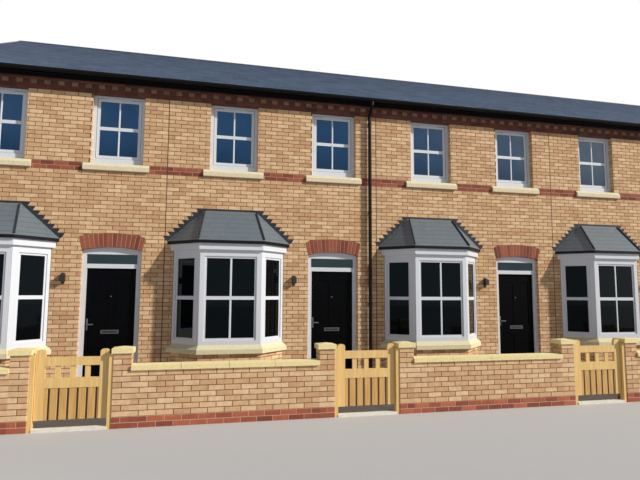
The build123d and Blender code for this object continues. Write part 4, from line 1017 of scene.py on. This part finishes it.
# Ridge tiles: pressed clay with a dark blue-grey slip, fired matt.
ridge_clay = noise_material("blue_black_ridge_clay", "#2f363f", "#22282f", 90, 0.6, 0.6)
# Milled lead sheet: soft grey metal, rolled thin and dressed by hand, whose oxide film is dark, streaked
# and dull.
lead = noise_material("milled_lead_sheet", "#3a3e44", "#24272c", 70, 0.6, 0.5, metallic=0.4,
                      Specular_IOR_Level=0.3)
# Door skin: compression-moulded composite with a black painted woodgrain of shallow upright lines.
# They are about 3 mm apart; 26 mm is the finest that still shows on so dark a coat.
door_paint = noise_material("black_composite_door", "#07080b", "#030405", 26, 0.4, 0.3, stretch=(1, 1, 0.08),
                            Specular_IOR_Level=0.04)
# Handles and letter plates: brass with a satin nickel plate, so faint smears show in its gloss.
door_metal = noise_material("satin_nickel_plate", "#7c7f85", "#65686e", 45, 0.3, 0.1, metallic=1.0)
# Lantern: die-cast aluminium with a black powder coat, whose orange-peel skin is 4 mm across.
black_metal = noise_material("black_powder_coat", "#17181a", "#101113", 4, 0.45, 0.15)
print("doors", door_paint.name, "with", door_metal.name)

# %% [markdown]
# ## Bay roof covering
# The bays are roofed in moulded grey slating, whose courses are 92 mm high and only a few
# millimetres thick. Its steps follow the height alone on all three slopes, so a saw-tooth of the
# height z draws them: the fraction of z/92 mm gives a dark line of painted shade at each tail and tilts
# the bump.

# %% Bay roof covering
BAY_COURSE = 0.092
# Moulded slating: grey plastic sheet pressed hot over a die, with a low gloss and faint cloudy patches.
bay_cover, tree, shader, place = new_material("grey_bay_roof_slating", "#545d63", 0.42)
height = add(tree, "ShaderNodeSeparateXYZ", Vector=place)
courses = add(tree, "ShaderNodeMath", {"operation": "DIVIDE"}, i0=height.outputs[2], i1=BAY_COURSE)
fraction = add(tree, "ShaderNodeMath", {"operation": "FRACT"}, i0=courses.outputs[0])
# Painted shade: a darker grey along each tail, where the step is.
line = add(tree, "ShaderNodeMapRange", i0=fraction.outputs[0], i1=0.0, i2=0.14)
patchy = add(tree, "ShaderNodeTexNoise", Vector=place, Scale=9.0, Detail=3.0)
sheet = add(tree, "ShaderNodeMix", MIX, i0=patchy.outputs[0], i6=linear("#566067"), i7=linear("#6a757b"))
tail_shaded = add(tree, "ShaderNodeMix", MIX, i0=line.outputs[0], i6=linear("#424b50"), i7=sheet.outputs[2])
tree.links.new(tail_shaded.outputs[2], shader.inputs["Base Color"])
step = add(tree, "ShaderNodeMath", {"operation": "SUBTRACT"}, i0=1.0, i1=fraction.outputs[0])
bump = add(tree, "ShaderNodeBump", Height=step.outputs[0], Distance=0.004, Strength=0.5)
tree.links.new(bump.outputs[0], shader.inputs["Normal"])
print("bay roof courses", round(1000 * BAY_COURSE), "mm")

# %% [markdown]
# ## Glass
# From outside in daylight a window looks dark, because the room behind is unlit, and it mirrors
# what is in front of it. Clear glass over real rooms could do that, but the rooms here are bare and
# the studio is white. So the glass is nearly black, as painted shade for the unlit rooms, and mirrors
# about 15%, as the four surfaces of double glazing do together and as one surface of index 2.3
# would. The tint of that mirroring is a painted reflection: cold blue from above in the upper panes,
# and a dim view in the low ones.

# %% Glass
# Heights where the painted reflection turns from dim to blue, and the box that holds the doors' toplights.
REFLECTION_TURNS = (3.4, 4.6)
TOPLIGHT_FRONT, TOPLIGHT_BACK = -3.65, -3.4
TOPLIGHT_FOOT, TOPLIGHT_TOP = 2.2, 2.6
# Double glazing: clear float glass, drawn as a smooth ribbon on molten tin, two panes to a unit.
# Its near-black base is painted shade for the unlit rooms behind.
glass, tree, shader, place = new_material("double_glazing_painted_reflection", "#07090b", 0.02, IOR=2.3)
spot = add(tree, "ShaderNodeSeparateXYZ", Vector=place)
high = add(tree, "ShaderNodeMapRange", i0=spot.outputs[2], i1=REFLECTION_TURNS[0], i2=REFLECTION_TURNS[1])
facing = add(tree, "ShaderNodeLayerWeight", Blend=0.5)
oblique = add(tree, "ShaderNodeMapRange", i0=facing.outputs["Facing"], i1=0.08, i2=0.34)
blue = add(tree, "ShaderNodeMix", MIX, i0=oblique.outputs[0], i6=linear("#68a6ea"), i7=linear("#d8f0ff"))
view = add(tree, "ShaderNodeMix", MIX, i0=high.outputs[0], i6=linear("#303b3e"), i7=blue.outputs[2])
# The toplights over the doors, set back in the wall, get a paler grey-green painted reflection.
in_toplight = 1.0
for axis, test, limit in ((1, "GREATER_THAN", TOPLIGHT_FRONT), (1, "LESS_THAN", TOPLIGHT_BACK),
                          (2, "GREATER_THAN", TOPLIGHT_FOOT), (2, "LESS_THAN", TOPLIGHT_TOP)):
    inside = add(tree, "ShaderNodeMath", {"operation": test}, i0=spot.outputs[axis], i1=limit)
    both = add(tree, "ShaderNodeMath", {"operation": "MULTIPLY"}, i0=in_toplight, i1=inside.outputs[0])
    in_toplight = both.outputs[0]
painted_reflection_tint = add(tree, "ShaderNodeMix", MIX, i0=in_toplight, i6=view.outputs[2], i7=linear("#7f9ba1"))
# Panes bow slightly under the sealed air between them, so the painted reflection drifts in tone over
# half a metre.
bow = add(tree, "ShaderNodeTexNoise", Vector=place, Scale=2.0, Detail=1.0)
bowed = add(tree, "ShaderNodeMapRange", i0=bow.outputs[0], i1=0.3, i2=0.7, i3=0.0, i4=0.4)
pane = add(tree, "ShaderNodeMix", MULTIPLY, i0=bowed.outputs[0], i6=painted_reflection_tint.outputs[2], i7=linear("#c4ccd8"))
tree.links.new(pane.outputs[2], shader.inputs["Specular Tint"])
print("glass", glass.name, "with index", shader.inputs["IOR"].default_value)

# %% [markdown]
# ## Dressing the solids
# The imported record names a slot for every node. One table gives each slot its finish, and a second
# one names the few nodes whose finish differs from the rest of their slot.

# %% Dress the solids
BY_SLOT = {"buff_brick": buff_mortar, "red_brick": red_mortar, "plain_brick": common_mortar,
           "concrete": concrete, "timber_floor": floor_board, "slate": slate, "roof_timber": roof_timber,
           "ridge_clay": ridge_clay, "black_plastic": black_pvc, "white_plastic": pvc, "glass": glass,
           "cast_stone": cast_stone, "roof_sheet": bay_cover, "lead": lead, "black_metal": black_metal,
           "door_paint": door_paint, "door_metal": door_metal, "gate_timber": gate_timber}
BY_NODE = {"cornice_dentils": dentil_brick_painted_shade, "eaves_cornice": cornice_beds_painted_shade, "roof_slates": slate_laps_painted_shade,
           "garden_copings": coping_stone, "bay_sills": bay_stone, "gate_thresholds": edging}
slot_of = {part["node"]: part["material_slot"] for part in frame["record"]["subparts"]}
for name, node in nodes.items():
    for material_slot in node.material_slots:
        material_slot.material = BY_NODE.get(name, BY_SLOT[slot_of[name]])
print("dressed", len(nodes), "nodes with", len(BY_SLOT) + len(BY_NODE), "materials")

# %% [markdown]
# ## Floor, background and light
# The row stands on a plain pale floor in a white studio. One lamp comes from the right, the front
# and above, and the world fills the shade a little blue. A wide, low lamp behind the row keeps the
# gable and the back wall readable and doesn't reach the front. The world could be white for all
# rays, but that would light the row from everywhere. So only rays that come from the camera, from a
# mirror or through glass see white, and the light itself stays soft.

# %% World
world = bpy.data.worlds.new("studio")
bpy.context.scene.world = world
world.use_nodes = True
world_tree = world.node_tree
world_tree.nodes.clear()
rays = add(world_tree, "ShaderNodeLightPath")
seen = add(world_tree, "ShaderNodeMath", {"operation": "MAXIMUM"}, i0=rays.outputs["Is Camera Ray"],
           i1=rays.outputs["Is Glossy Ray"])
seen_or_through = add(world_tree, "ShaderNodeMath", {"operation": "MAXIMUM"}, i0=seen.outputs[0],
                      i1=rays.outputs["Is Transmission Ray"])
soft_light = add(world_tree, "ShaderNodeBackground", Color=linear("#cfdcf6"), Strength=0.28)
white = add(world_tree, "ShaderNodeBackground", Color=(1, 1, 1, 1), Strength=1.0)
mixed = add(world_tree, "ShaderNodeMixShader", i0=seen_or_through.outputs[0], i1=soft_light.outputs[0],
            i2=white.outputs[0])
add(world_tree, "ShaderNodeOutputWorld", Surface=mixed.outputs[0])
print("soft light", soft_light.inputs["Strength"].default_value)

# %% Lamps
# Name, strength, colour, spread in degrees, and the way the light goes.
LAMPS = (("high_lamp", 4.25, "#fffaf3", 2, (-1.75, 1.0, -1.25)),
         ("back_lamp", 1.5, "#ffffff", 40, (0.6, -1.0, -0.35)))
for name, strength, colour, spread, direction in LAMPS:
    lamp_data = bpy.data.lights.new(name, "SUN")
    lamp_data.energy = strength
    lamp_data.color = linear(colour)[:3]
    lamp_data.angle = math.radians(spread)
    lamp = bpy.data.objects.new(name, lamp_data)
    lamp.rotation_euler = Vector(direction).to_track_quat("-Z", "Y").to_euler()
    bpy.context.collection.objects.link(lamp)
    print(name, "strength", strength)

# %% Floor
HALF_FLOOR = 60.0
floor_mesh = bpy.data.meshes.new("floor")
floor_mesh.from_pydata([(-HALF_FLOOR, -HALF_FLOOR, 0), (HALF_FLOOR, -HALF_FLOOR, 0),
                        (HALF_FLOOR, HALF_FLOOR, 0), (-HALF_FLOOR, HALF_FLOOR, 0)], [], [(0, 1, 2, 3)])
floor = bpy.data.objects.new("floor", floor_mesh)
bpy.context.collection.objects.link(floor)
# Studio floor: matt painted board, pale and even.
floor.data.materials.append(noise_material("pale_floor", "#bcbcba", "#bababa", 25, 0.9, 0.1))
print("floor", 2 * HALF_FLOOR, "m square")

# %% [markdown]
# ## Finish
# The view is set to show colours as they are written.

# %% Finish
bpy.context.scene.view_settings.view_transform = "Standard"
